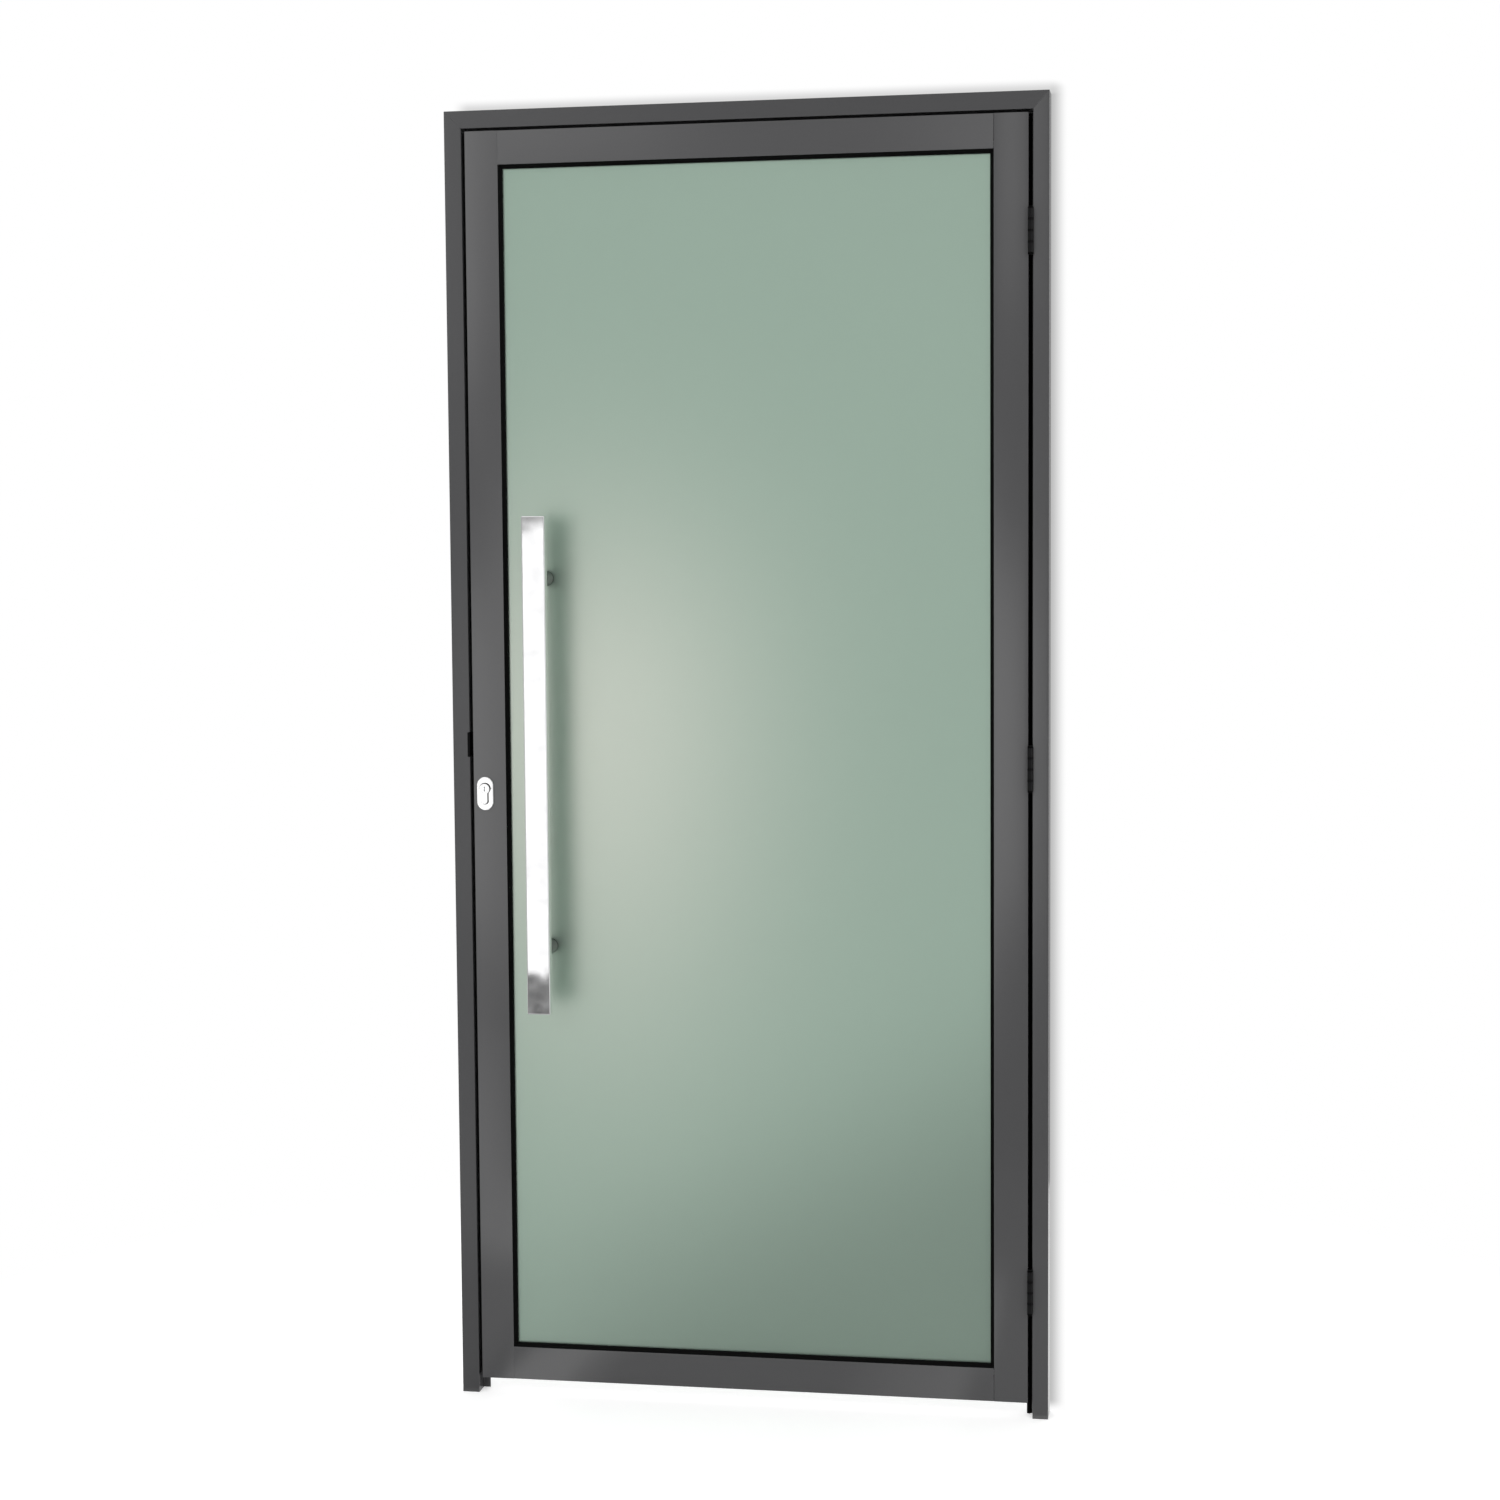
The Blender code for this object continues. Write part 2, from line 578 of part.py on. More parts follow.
def build_lock(stile):
    """Lock case with its faceplate, two bolts, the profile cylinder and an escutcheon each side."""
    face = FRONT - CUT_OVERRUN
    back = FRONT + LEAF_DEPTH + CUT_OVERRUN
    middle_y = FRONT + LEAF_DEPTH / 2
    case_z = LOCK_Z + CASE_RISE
    place = at(LEAF_LEFT, middle_y, case_z)
    half_plate = FACEPLATE_HEIGHT / 2
    half_width = FACEPLATE_WIDTH / 2
    opening = box_mesh("faceplate_opening", (-CUT_OVERRUN, -half_width - SEAT_GAP, -half_plate - SEAT_GAP),
                       (FACEPLATE_THICKNESS, half_width + SEAT_GAP, half_plate + SEAT_GAP))
    boolean(stile, cutter_from(opening, "faceplate_opening", LEAF, place))
    passage = through("cylinder_passage", cylinder_outline(SEAT_GAP), face, back)
    boolean(stile, passage)
    case = piece_from(box_mesh("lock_case", (0, -half_width, -half_plate), (FACEPLATE_THICKNESS, half_width, half_plate)),
                      "lock_case", "lock_steel", LEAF, place)
    body = box_mesh("lock_case_body", (FACEPLATE_THICKNESS / 2, -CASE_THICKNESS / 2, -CASE_HEIGHT / 2),
                    (CASE_WIDTH, CASE_THICKNESS / 2, CASE_HEIGHT / 2))
    boolean(case, cutter_from(body, "lock_case_body", LEAF, place), "UNION")
    boolean(case, passage)
    for name, rise, height, proud in (("latch_bolt", LATCH_RISE, LATCH_HEIGHT, LATCH_PROUD),
                                      ("dead_bolt", -DEAD_BOLT_DROP, DEAD_BOLT_HEIGHT, 0.0)):
        build_bolt(name, case, LOCK_Z + rise, height, proud)
    front_end = FRONT - ESCUTCHEON_THICKNESS - CYLINDER_PROUD
    back_end = FRONT + LEAF_DEPTH + ESCUTCHEON_THICKNESS + CYLINDER_PROUD
    cylinder = piece_from(outline_mesh("lock_cylinder", [cylinder_outline()], back_end - front_end), "lock_cylinder",
                          "chrome", LEAF, facing(LOCK_X, (front_end + back_end) / 2, LOCK_Z, -1))
    head_z = LOCK_Z + CYLINDER_HEIGHT / 2 - CYLINDER_HEAD_RADIUS
    for name, low, high in (("front_key_slot", front_end - CUT_OVERRUN, front_end + KEY_SLOT_DEPTH),
                            ("back_key_slot", back_end - KEY_SLOT_DEPTH, back_end + CUT_OVERRUN)):
        slot = box_mesh(name, (-KEY_SLOT_WIDTH / 2, low, -KEY_SLOT_HEIGHT / 2), (KEY_SLOT_WIDTH / 2, high, KEY_SLOT_HEIGHT / 2))
        boolean(cylinder, cutter_from(slot, name, LEAF, at(LOCK_X, 0, head_z)))
    for name, y in (("front_escutcheon", FRONT - SEAT_GAP - ESCUTCHEON_THICKNESS / 2),
                    ("back_escutcheon", FRONT + LEAF_DEPTH + SEAT_GAP + ESCUTCHEON_THICKNESS / 2)):
        loops = [escutcheon_outline(), cylinder_outline(ESCUTCHEON_ROOM)]
        plate = piece_from(outline_mesh(name, loops, ESCUTCHEON_THICKNESS), name, "chrome", LEAF, facing(LOCK_X, y, LOCK_Z, -1))
        rounded(plate, ESCUTCHEON_ROUND)


def build_bolt(name, case, height_z, height, proud):
    """A bolt drawn back into its slot in the lock case; only its nose stands proud."""
    place = at(LEAF_LEFT, FRONT + LEAF_DEPTH / 2, height_z)
    half = BOLT_THICKNESS / 2
    slot = box_mesh(f"{name}_slot", (-CUT_OVERRUN, -half - SEAT_GAP, -height / 2 - SEAT_GAP),
                    (BOLT_REACH + SEAT_GAP, half + SEAT_GAP, height / 2 + SEAT_GAP))
    boolean(case, cutter_from(slot, f"{name}_slot", LEAF, place))
    outline = [(-proud, half - LATCH_BEVEL), (-proud + LATCH_BEVEL, half), (BOLT_REACH, half), (BOLT_REACH, -half),
               (-proud + LATCH_BEVEL, -half), (-proud, LATCH_BEVEL - half)]
    piece_from(outline_mesh(name, [outline], height), name, "lock_steel", LEAF, place)


def rounded(piece, width):
    """Round a piece's sharp edges."""
    modifier = piece.modifiers.new("rounded", "BEVEL")
    modifier.width = width
    modifier.segments = 2
    modifier.limit_method = "ANGLE"
    modifier.angle_limit = math.radians(60)


def build_handles(glass):
    """A flat bar on two posts on each face of the glass; studs through the glass join the pair."""
    faces = {
        "front": (FRONT + GLASS_SETBACK, -1),
        "back": (FRONT + GLASS_BACK, 1),
    }
    post_start = WASHER_THICKNESS + 2 * SEAT_GAP
    post_end = HANDLE_STANDOFF - SEAT_GAP
    stud_end = GLASS_THICKNESS + post_start + SOCKET_DEPTH - SEAT_GAP
    bore = STUD_RADIUS + SEAT_GAP
    profiles = {
        "front": [(0, post_end), (POST_RADIUS, post_end), (POST_RADIUS, post_start), (STUD_RADIUS, post_start),
                  (STUD_RADIUS, -stud_end), (0, -stud_end)],
        "back": [(0, post_end), (POST_RADIUS, post_end), (POST_RADIUS, post_start), (bore, post_start),
                 (bore, post_start + SOCKET_DEPTH), (0, post_start + SOCKET_DEPTH)],
    }
    for side, (surface, out) in faces.items():
        bar_low = HANDLE_STANDOFF
        bar_high = HANDLE_STANDOFF + HANDLE_THICKNESS
        low, high = sorted((out * bar_low, out * bar_high))
        half_width = HANDLE_WIDTH / 2
        half_length = HANDLE_LENGTH / 2
        name = f"{side}_handle_bar"
        mesh = box_mesh(name, (-half_width, low, -half_length), (half_width, high, half_length))
        rounded(piece_from(mesh, name, "chrome", LEAF, at(HANDLE_X, surface, HANDLE_Z)), HANDLE_ROUND)
        for level, rise in (("lower", -POST_SPACING / 2), ("upper", POST_SPACING / 2)):
            place = facing(HANDLE_X, surface, HANDLE_Z + rise, out)
            name = f"{side}_{level}_post"
            piece_from(turned_mesh(name, profiles[side], POST_STEPS), name, "chrome", LEAF, place)
            name = f"{side}_{level}_washer"
            washer = outline_mesh(name, [circle((0, 0), POST_RADIUS, POST_STEPS), circle((0, 0), bore, POST_STEPS)],
                                  WASHER_THICKNESS)
            seat = surface + out * (SEAT_GAP + WASHER_THICKNESS / 2)
            piece_from(washer, name, "black_rubber", LEAF, facing(HANDLE_X, seat, HANDLE_Z + rise, out))
    for level, rise in (("lower", -POST_SPACING / 2), ("upper", POST_SPACING / 2)):
        name = f"{level}_stud_hole"
        hole = outline_mesh(name, [circle((0, 0), bore, POST_STEPS)], GLASS_THICKNESS + 2 * CUT_OVERRUN)
        middle = FRONT + GLASS_SETBACK + GLASS_THICKNESS / 2
        boolean(glass, cutter_from(hole, name, LEAF, facing(HANDLE_X, middle, HANDLE_Z + rise, 1)))


clear_scene()
PARTS = collection("aluminium_swing_door")
CUTTERS = collection("cutters")
FRAME = empty("frame_carrier", Vector((RIGHT, 0.0, 0.0)))
LEAF = empty("door_swing_axis", Vector((HINGE_X, HINGE_Y, 0.0)))

frame_bars = build_frame()
build_keeper(frame_bars["lock"])
leaf_bars = build_leaf_bars()
pane = build_glazing()
for hinge_name, hinge_height in HINGES.items():
    build_hinge(hinge_name, hinge_height)
build_lock(leaf_bars["lock_stile"])
build_handles(pane)
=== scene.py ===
"""Looks of the aluminium swing door: satin paint, etched glass, chrome pulls, hinges and lock.

Metres, in the row frame: +X towards the hinges, -Y towards the camera, +Z up. Each sub-assembly
is a class that builds its own pieces round the packed nodes, and main() makes them in order.
"""

import logging
import math
from dataclasses import dataclass
from enum import Enum
from functools import lru_cache
from typing import Any, ClassVar, Iterable

import bmesh
import bpy
from mathutils import Matrix, Vector


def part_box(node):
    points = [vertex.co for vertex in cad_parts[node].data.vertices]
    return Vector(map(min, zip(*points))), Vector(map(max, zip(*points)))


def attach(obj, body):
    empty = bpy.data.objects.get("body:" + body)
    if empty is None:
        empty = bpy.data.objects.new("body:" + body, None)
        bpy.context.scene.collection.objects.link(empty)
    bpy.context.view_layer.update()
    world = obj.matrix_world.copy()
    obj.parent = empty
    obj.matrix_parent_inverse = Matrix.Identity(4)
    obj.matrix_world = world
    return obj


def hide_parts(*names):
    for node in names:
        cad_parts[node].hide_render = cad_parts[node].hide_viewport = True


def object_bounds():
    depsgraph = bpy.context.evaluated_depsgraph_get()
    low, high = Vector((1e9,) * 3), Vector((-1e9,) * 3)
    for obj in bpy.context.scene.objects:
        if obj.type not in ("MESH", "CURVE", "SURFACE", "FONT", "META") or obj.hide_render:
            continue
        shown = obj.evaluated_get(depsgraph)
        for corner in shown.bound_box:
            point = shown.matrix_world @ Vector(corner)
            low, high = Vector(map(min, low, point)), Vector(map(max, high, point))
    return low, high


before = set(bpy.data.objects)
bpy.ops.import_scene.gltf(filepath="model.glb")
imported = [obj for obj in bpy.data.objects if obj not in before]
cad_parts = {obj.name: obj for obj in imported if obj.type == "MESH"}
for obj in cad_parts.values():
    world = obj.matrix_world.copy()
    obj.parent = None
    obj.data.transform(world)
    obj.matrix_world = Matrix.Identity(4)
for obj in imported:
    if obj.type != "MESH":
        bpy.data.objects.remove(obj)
CAD_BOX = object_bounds()
LOG = logging.getLogger("swing_door")

Colour = tuple[float, float, float]
Triple = tuple[float, float, float]
Flat = tuple[float, float]
Shell = bmesh.types.BMesh
Socket = bpy.types.NodeSocket

MERGE_DISTANCE = 0.00001
FLAT_ANGLE = math.radians(0.2)
SHARP_ANGLE = math.radians(40)
CORNER_ANGLE = math.radians(30)
ROUND_STEPS = 48
BAR_STRIPS = 8
BEVEL_PROFILE = 0.5
NOISE_MIDDLE = 0.5
WHITE = (1.0, 1.0, 1.0, 1.0)
BLACK = (0.0, 0.0, 0.0, 1.0)
NUMBER = "NodeSocketFloat"
RAYS = ("camera", "diffuse", "glossy", "transmission", "volume_scatter", "shadow")


class Body(Enum):
    """The two bodies that the door's pieces ride on."""

    FRAME = "frame"
    LEAF = "leaf"


class Slot(Enum):
    """The material slots that the finishes are sorted into."""

    FRAME_PAINT = "frame_paint"
    LEAF_PAINT = "leaf_paint"
    RUBBER = "rubber"
    BLACK_METAL = "black_metal"
    SATIN_GLASS = "satin_glass"
    CHROME = "chrome"
    LOCK_STEEL = "lock_steel"


class Axis(Enum):
    """Index of a coordinate in a vector."""

    X = 0
    Y = 1
    Z = 2

    def unit(self) -> Vector:
        """Return the unit vector along the axis."""
        return Vector([float(index == self.value) for index in range(3)])


class NodeSheet:
    """Adds nodes to one tree, with their settings and links in a single call."""

    def __init__(self, tree: bpy.types.NodeTree) -> None:
        """Keep the tree that the nodes go into."""
        self.tree = tree

    def add(self, kind: str, inputs: dict[Any, Any] | None = None, **settings: Any) -> bpy.types.Node:
        """Add one node.

        Args:
            kind: the node's type name.
            inputs: values or output sockets for its inputs, by name or index.
            **settings: the node's own properties.

        Returns:
            The new node.
        """
        made = self.tree.nodes.new(kind)
        for key, value in settings.items():
            setattr(made, key, value)
        for key, value in (inputs or {}).items():
            self.feed(made.inputs[key], value)
        return made

    def first(self, kind: str, inputs: dict[Any, Any] | None = None, **settings: Any) -> Socket:
        """Add one node and return its first output."""
        return self.add(kind, inputs, **settings).outputs[0]

    def feed(self, socket: Socket, value: Any) -> None:
        """Fill an input.

        Args:
            socket: the input.
            value: an output socket to link to it, or its own value.
        """
        if isinstance(value, Socket):
            self.tree.links.new(value, socket)
        else:
            socket.default_value = value

    def maths(self, operation: str, *values: Any) -> Socket:
        """Return the output of a Math node on one, two or three values."""
        return self.first("ShaderNodeMath", dict(enumerate(values)), operation=operation)

    def plus(self, value: Any, other: Any) -> Socket:
        """Return a sum."""
        return self.maths("ADD", value, other)

    def minus(self, value: Any, taken: Any) -> Socket:
        """Return a difference."""
        return self.maths("SUBTRACT", value, taken)

    def times(self, value: Any, factor: Any) -> Socket:
        """Return a product."""
        return self.maths("MULTIPLY", value, factor)

    def share(self, value: Any, whole: Any) -> Socket:
        """Return a quotient."""
        return self.maths("DIVIDE", value, whole)

    def line(self, value: Any, slope: Any, start: Any) -> Socket:
        """Return a value times a slope, added to a start."""
        return self.maths("MULTIPLY_ADD", value, slope, start)

    def vectors(self, operation: str, *values: Any) -> Socket:
        """Return the vector of a Vector Math node, or its number for a length or a dot product."""
        made = self.add("ShaderNodeVectorMath", dict(enumerate(values)), operation=operation)
        return made.outputs["Value" if operation in ("LENGTH", "DOT_PRODUCT") else "Vector"]

    def place(self) -> Socket:
        """Return the object coordinates, which are the row frame's metres on every piece."""
        return self.add("ShaderNodeTexCoord").outputs["Object"]

    def spot(self) -> Any:
        """Return the object coordinates one by one, as outputs X, Y and Z."""
        return self.add("ShaderNodeSeparateXYZ", {"Vector": self.place()}).outputs

    def noise(self, scale: Any, detail: float, vector: Any = None, distortion: float = 0.0) -> Socket:
        """Add a cloudy noise.

        Args:
            scale: how many patches it has to a metre.
            detail: how many finer layers lie on it.
            vector: the coordinates that it is laid out on, or None for the object's.
            distortion: how far its patches are pulled about.

        Returns:
            The noise, from 0 to 1.
        """
        return self.first("ShaderNodeTexNoise", {
            "Vector": self.place() if vector is None else vector, "Scale": scale, "Detail": detail,
            "Distortion": distortion})

    def swing(self, scale: Any, detail: float, vector: Any = None, distortion: float = 0.0) -> Socket:
        """Return a noise that swings about 0; its arguments are those of noise."""
        return self.minus(self.noise(scale, detail, vector, distortion), NOISE_MIDDLE)

    def step(self, value: Any, place: float, soft: float) -> Socket:
        """Return a smooth step from 0 to 1 where a value passes a place, over a width of soft."""
        return self.first("ShaderNodeMapRange", {
            "Value": value, "From Min": place - soft / 2, "From Max": place + soft / 2},
            interpolation_type="SMOOTHSTEP")

    def ramp(self, value: Socket, stops: tuple[Flat, ...]) -> Socket:
        """Turn a value into another.

        Args:
            value: the value.
            stops: pairs of a value and its result, with straight runs between them.

        Returns:
            The result.
        """
        low, high = stops[0][0], stops[-1][0]
        along = self.first("ShaderNodeMapRange", {"Value": value, "From Min": low, "From Max": high})
        made = self.add("ShaderNodeValToRGB", {"Fac": along})
        points = made.color_ramp.elements
        middle = (points[0].position + points[-1].position) / 2
        while len(points) < len(stops):
            points.new(middle)
        for point, (place, result) in zip(points, stops):
            point.position = (place - low) / (high - low)
            point.color = (result, result, result, 1.0)
        return made.outputs["Color"]

    def mixed(self, share: Any, under: Any, over: Any) -> Socket:
        """Return the mix of two colours, whose sockets on the node are inputs 6 and 7 and output 2."""
        return self.add("ShaderNodeMix", {0: share, 6: under, 7: over}, data_type="RGBA").outputs[2]

    def glow(self, strength: Any, colour: Colour = WHITE[:3]) -> Socket:
        """Return an emission shader."""
        return self.first("ShaderNodeEmission", {"Color": (*colour, 1.0), "Strength": strength})

    def group(self, tree: bpy.types.NodeTree, values: dict[str, Any]) -> Socket:
        """Place a shader group with its own values and return its output."""
        return self.first("ShaderNodeGroup", values, node_tree=tree)


class GroupSheet(NodeSheet):
    """A new node group with named inputs and one output, and the sheet that fills it."""

    def __init__(self, name: str, kind: str, inputs: dict[str, str], output: tuple[str, str]) -> None:
        """Make the group with nothing between its ends yet.

        Args:
            name: the group's name.
            kind: the type of tree.
            inputs: socket type of each input, by name.
            output: the output's name and socket type.
        """
        super().__init__(bpy.data.node_groups.new(name, kind))
        for label, socket_type in inputs.items():
            self.tree.interface.new_socket(label, in_out="INPUT", socket_type=socket_type)
        self.tree.interface.new_socket(output[0], in_out="OUTPUT", socket_type=output[1])
        self.given = self.tree.nodes.new("NodeGroupInput").outputs
        self.end = self.tree.nodes.new("NodeGroupOutput")

    def close(self, value: Socket) -> bpy.types.NodeTree:
        """Feed the group's output with a value and return the finished group."""
        self.feed(self.end.inputs[0], value)
        return self.tree


@lru_cache(maxsize=None)
def tone_group() -> bpy.types.NodeTree:
    """Return the group that gives a colour a slow cloudy drift and a fine speckle."""
    colour = "NodeSocketColor"
    sheet = GroupSheet("tone_variation", "ShaderNodeTree", {
        "Colour": colour, "Drift Scale": NUMBER, "Drift": NUMBER, "Speckle Scale": NUMBER,
        "Speckle": NUMBER}, ("Colour", colour))
    given = sheet.given
    slow = sheet.times(sheet.swing(given["Drift Scale"], detail=3.0), given["Drift"])
    fine = sheet.times(sheet.swing(given["Speckle Scale"], detail=1.0), given["Speckle"])
    level = sheet.plus(sheet.plus(slow, fine), 1.0)
    toned = {0: given["Colour"], "Scale": level}
    return sheet.close(sheet.first("ShaderNodeVectorMath", toned, operation="SCALE"))


@lru_cache(maxsize=None)
def handling_group() -> bpy.types.NodeTree:
    """Return the group that gives a roughness the patches left by wiping and handling."""
    sheet = GroupSheet("handling_marks", "ShaderNodeTree", {
        "Roughness": NUMBER, "Spread": NUMBER, "Scale": NUMBER}, ("Roughness", NUMBER))
    patch = sheet.swing(sheet.given["Scale"], detail=4.0, distortion=0.6)
    return sheet.close(sheet.plus(sheet.given["Roughness"], sheet.times(patch, sheet.given["Spread"])))


@lru_cache(maxsize=None)
def grain_group() -> bpy.types.NodeTree:
    """Return the group for the height of a fine grain, drawn out along a direction or not."""
    sheet = GroupSheet("fine_grain", "ShaderNodeTree", {"Scale": NUMBER, "Stretch": "NodeSocketVector"},
                       ("Height", NUMBER))
    drawn = sheet.vectors("MULTIPLY", sheet.place(), sheet.given["Stretch"])
    return sheet.close(sheet.noise(sheet.given["Scale"], detail=2.0, vector=drawn))


@lru_cache(maxsize=None)
def edge_group() -> bpy.types.NodeTree:
    """Return the group for the mask of the edges, where a coat is thin and gets rubbed."""
    fully_turned = 0.85
    sheet = GroupSheet("edge_wear", "ShaderNodeTree", {"Radius": NUMBER, "Scale": NUMBER}, ("Mask", NUMBER))
    rounded = sheet.first("ShaderNodeBevel", {"Radius": sheet.given["Radius"]}, samples=4)
    facing = sheet.vectors("DOT_PRODUCT", rounded, sheet.add("ShaderNodeNewGeometry").outputs["Normal"])
    turned = sheet.first("ShaderNodeMapRange", {"Value": facing, "From Min": 1.0, "From Max": fully_turned})
    return sheet.close(sheet.times(turned, sheet.noise(sheet.given["Scale"], detail=3.0)))


@dataclass(frozen=True)
class Finish:
    """A finish: its colour with drift and speckle, its roughness with handling marks, and its grain."""

    name: str
    slot: Slot
    colour: Colour
    roughness: float
    metallic: float = 0.0
    specular: float = 0.5
    drift: float = 0.10
    drift_scale: float = 4.0
    speckle: float = 0.10
    speckle_scale: float = 700.0
    smudge: float = 0.06
    smudge_scale: float = 7.0
    grain_scale: float = 900.0
    grain_stretch: Triple = (1.0, 1.0, 1.0)
    grain_depth: float = 0.00001
    edge_colour: Colour = (0.3, 0.3, 0.3)
    edge_strength: float = 0.0
    edge_radius: float = 0.0006
    edge_scale: float = 60.0

    def constants(self) -> dict[str, float]:
        """Return the values that are the same all over the surface, by the shader's socket."""
        return {"Metallic": self.metallic, "Specular IOR Level": self.specular}

    @lru_cache(maxsize=None)
    def material(self) -> bpy.types.Material:
        """Make the finish's node material.

        Returns:
            The one material that every piece with this finish shares.
        """
        made = bpy.data.materials.new(self.name)
        made.use_nodes = True
        sheet = NodeSheet(made.node_tree)
        shader = made.node_tree.nodes["Principled BSDF"]
        for label, value in self.constants().items():
            shader.inputs[label].default_value = value
        sheet.feed(shader.inputs["Base Color"], self.coloured(sheet))
        sheet.feed(shader.inputs["Roughness"], self.roughened(sheet))
        height = sheet.group(grain_group(), {"Scale": self.grain_scale, "Stretch": self.grain_stretch})
        bump = sheet.first("ShaderNodeBump", {"Distance": self.grain_depth, "Height": height})
        sheet.feed(shader.inputs["Normal"], bump)
        return made

    def roughened(self, sheet: NodeSheet) -> Socket:
        """Return the roughness with its handling marks."""
        return sheet.group(handling_group(), {
            "Roughness": self.roughness, "Spread": self.smudge, "Scale": self.smudge_scale})

    def coloured(self, sheet: NodeSheet) -> Socket:
        """Build the colour's nodes, with rubbed edges where the finish has them.

        Args:
            sheet: the material's tree.

        Returns:
            The socket that carries the colour.
        """
        tone = sheet.group(tone_group(), {
            "Colour": (*self.colour, 1.0), "Drift Scale": self.drift_scale, "Drift": self.drift,
            "Speckle Scale": self.speckle_scale, "Speckle": self.speckle})
        if not self.edge_strength:
            return tone
        mask = sheet.group(edge_group(), {"Radius": self.edge_radius, "Scale": self.edge_scale})
        return sheet.mixed(sheet.times(mask, self.edge_strength), tone, (*self.edge_colour, 1.0))


@dataclass(frozen=True)
class BandedFinish(Finish):
    """A finish with dull black bands at an even pitch along Z, at the joints of a hinge's knuckles."""

    first_band: float = 0.0
    band_pitch: float = 0.0176
    band_width: float = 0.0030
    band_back: float = 0.0
    band_roughness: float = 1.0

    def bands(self, sheet: NodeSheet) -> Socket:
        """Build the mask of the bands.

        Args:
            sheet: the material's tree.

        Returns:
            1 on the bands, which end behind the barrel, and 0 elsewhere.
        """
        spot = sheet.spot()
        along = sheet.share(sheet.minus(spot["Z"], self.first_band), self.band_pitch)
        away = sheet.maths("PINGPONG", along, 0.5)
        near = sheet.maths("LESS_THAN", away, self.band_width / self.band_pitch / 2)
        return sheet.times(near, sheet.maths("LESS_THAN", spot["Y"], self.band_back))

    def roughened(self, sheet: NodeSheet) -> Socket:
        """Return the roughness, which is higher on the bands."""
        dull = sheet.times(self.bands(sheet), self.band_roughness)
        return sheet.maths("MAXIMUM", super().roughened(sheet), dull)

    def coloured(self, sheet: NodeSheet) -> Socket:
        """Return the colour, which is black on the bands."""
        return sheet.mixed(self.bands(sheet), super().coloured(sheet), BLACK)


@dataclass(frozen=True)
class EtchedGlass(Finish):
    """Glass with an etched face, which lets light through but blurs what is behind it."""

    transmission: float = 0.8
    ior: float = 1.5

    def constants(self) -> dict[str, float]:
        """Return the constant values, with the share of light let through."""
        return {**super().constants(), "Transmission Weight": self.transmission, "IOR": self.ior}


FRAME_PAINT = Finish(
    "frame_paint_satin", Slot.FRAME_PAINT, (0.060, 0.060, 0.062), 0.22, specular=0.35, edge_strength=0.35)
# Painted light: a lighter, shinier copy of the frame paint, used on the hinge jamb alone to stand in for the
# brighter light that jamb catches.
HINGE_SIDE_LIT_PAINT = Finish(
    "frame_paint_hinge_side_painted_light", Slot.FRAME_PAINT, (0.064, 0.064, 0.066), 0.20, specular=0.75,
    edge_strength=0.35)
LEAF_PAINT = Finish(
    "leaf_paint_satin", Slot.LEAF_PAINT, (0.065, 0.065, 0.067), 0.16, specular=0.8, smudge=0.04,
    edge_strength=0.35)
RUBBER = Finish(
    "black_rubber_matt", Slot.RUBBER, (0.0025, 0.0025, 0.0025), 0.75, specular=0.08, grain_scale=1500.0,
    grain_depth=0.00003)
BLACK_METAL = Finish(
    "black_metal_satin", Slot.BLACK_METAL, (0.006, 0.006, 0.0064), 0.34, specular=0.15, edge_strength=0.25,
    edge_colour=(0.05, 0.05, 0.053), edge_radius=0.0004)
KEEPER_BLACK = Finish("keeper_black", Slot.BLACK_METAL, (0.003, 0.003, 0.003), 0.55, specular=0.10)
# Painted shade: the cylinder's body is coloured dark brownish grey to stand in for the shadow and dark
# reflection on its flank.
CYLINDER_PAINTED_SHADE = Finish(
    "cylinder_body_painted_shade", Slot.CHROME, (0.075, 0.060, 0.056), 0.35, metallic=1.0, drift=0.08)
# Painted shade: the pulls' chrome posts are coloured dark grey to stand in for the shade that they sit in
# beside the bar.
STEEL_PAINTED_SHADE = Finish(
    "steel_painted_shade", Slot.CHROME, (0.17, 0.17, 0.174), 0.28, metallic=1.0, drift=0.05, grain_scale=60.0,
    grain_stretch=(60.0, 1.0, 60.0), grain_depth=0.00002)
CHROME = Finish(
    "chrome_polished", Slot.CHROME, (0.88, 0.88, 0.885), 0.03, metallic=1.0, drift=0.02, speckle=0.01,
    smudge=0.05, smudge_scale=30.0, grain_depth=0.0)
LOCK_STEEL = Finish(
    "lock_steel_brushed", Slot.LOCK_STEEL, (0.50, 0.50, 0.51), 0.30, metallic=1.0, drift=0.08,
    grain_scale=60.0, grain_stretch=(60.0, 60.0, 1.0), grain_depth=0.00004)
GLASS = EtchedGlass(
    "etched_glass", Slot.SATIN_GLASS, (0.334, 0.445, 0.371), 0.52, drift=0.03, drift_scale=1.5, speckle=0.02,
    smudge=0.02, grain_scale=2500.0, grain_depth=0.000004)


def skin_of(node: str) -> Shell:
    """Copy a packed node's mesh with its loose triangles merged into flat faces.

    Args:
        node: the node's name.

    Returns:
        A bmesh that the caller finishes and frees.
    """
    shell = bmesh.new()
    shell.from_mesh(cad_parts[node].data)
    bmesh.ops.remove_doubles(shell, verts=shell.verts, dist=MERGE_DISTANCE)
    bmesh.ops.dissolve_limit(shell, angle_limit=FLAT_ANGLE, verts=shell.verts, edges=shell.edges)
    return shell


def corner_edges(shell: Shell, along: Axis | None = None) -> list[bmesh.types.BMEdge]:
    """Find the outward corners of a shell.

    Args:
        shell: the mesh to search.
        along: keep only edges that run along this axis, or any where it is None.

    Returns:
        The edges where two faces meet at an outward corner.
    """
    found = []
    for edge in shell.edges:
        if len(edge.link_faces) != 2 or not edge.is_convex or edge.calc_face_angle(0.0) < CORNER_ANGLE:
            continue
        run = (edge.verts[1].co - edge.verts[0].co).normalized()
        if along is None or abs(run[along.value]) > math.cos(FLAT_ANGLE):
            found.append(edge)
    return found


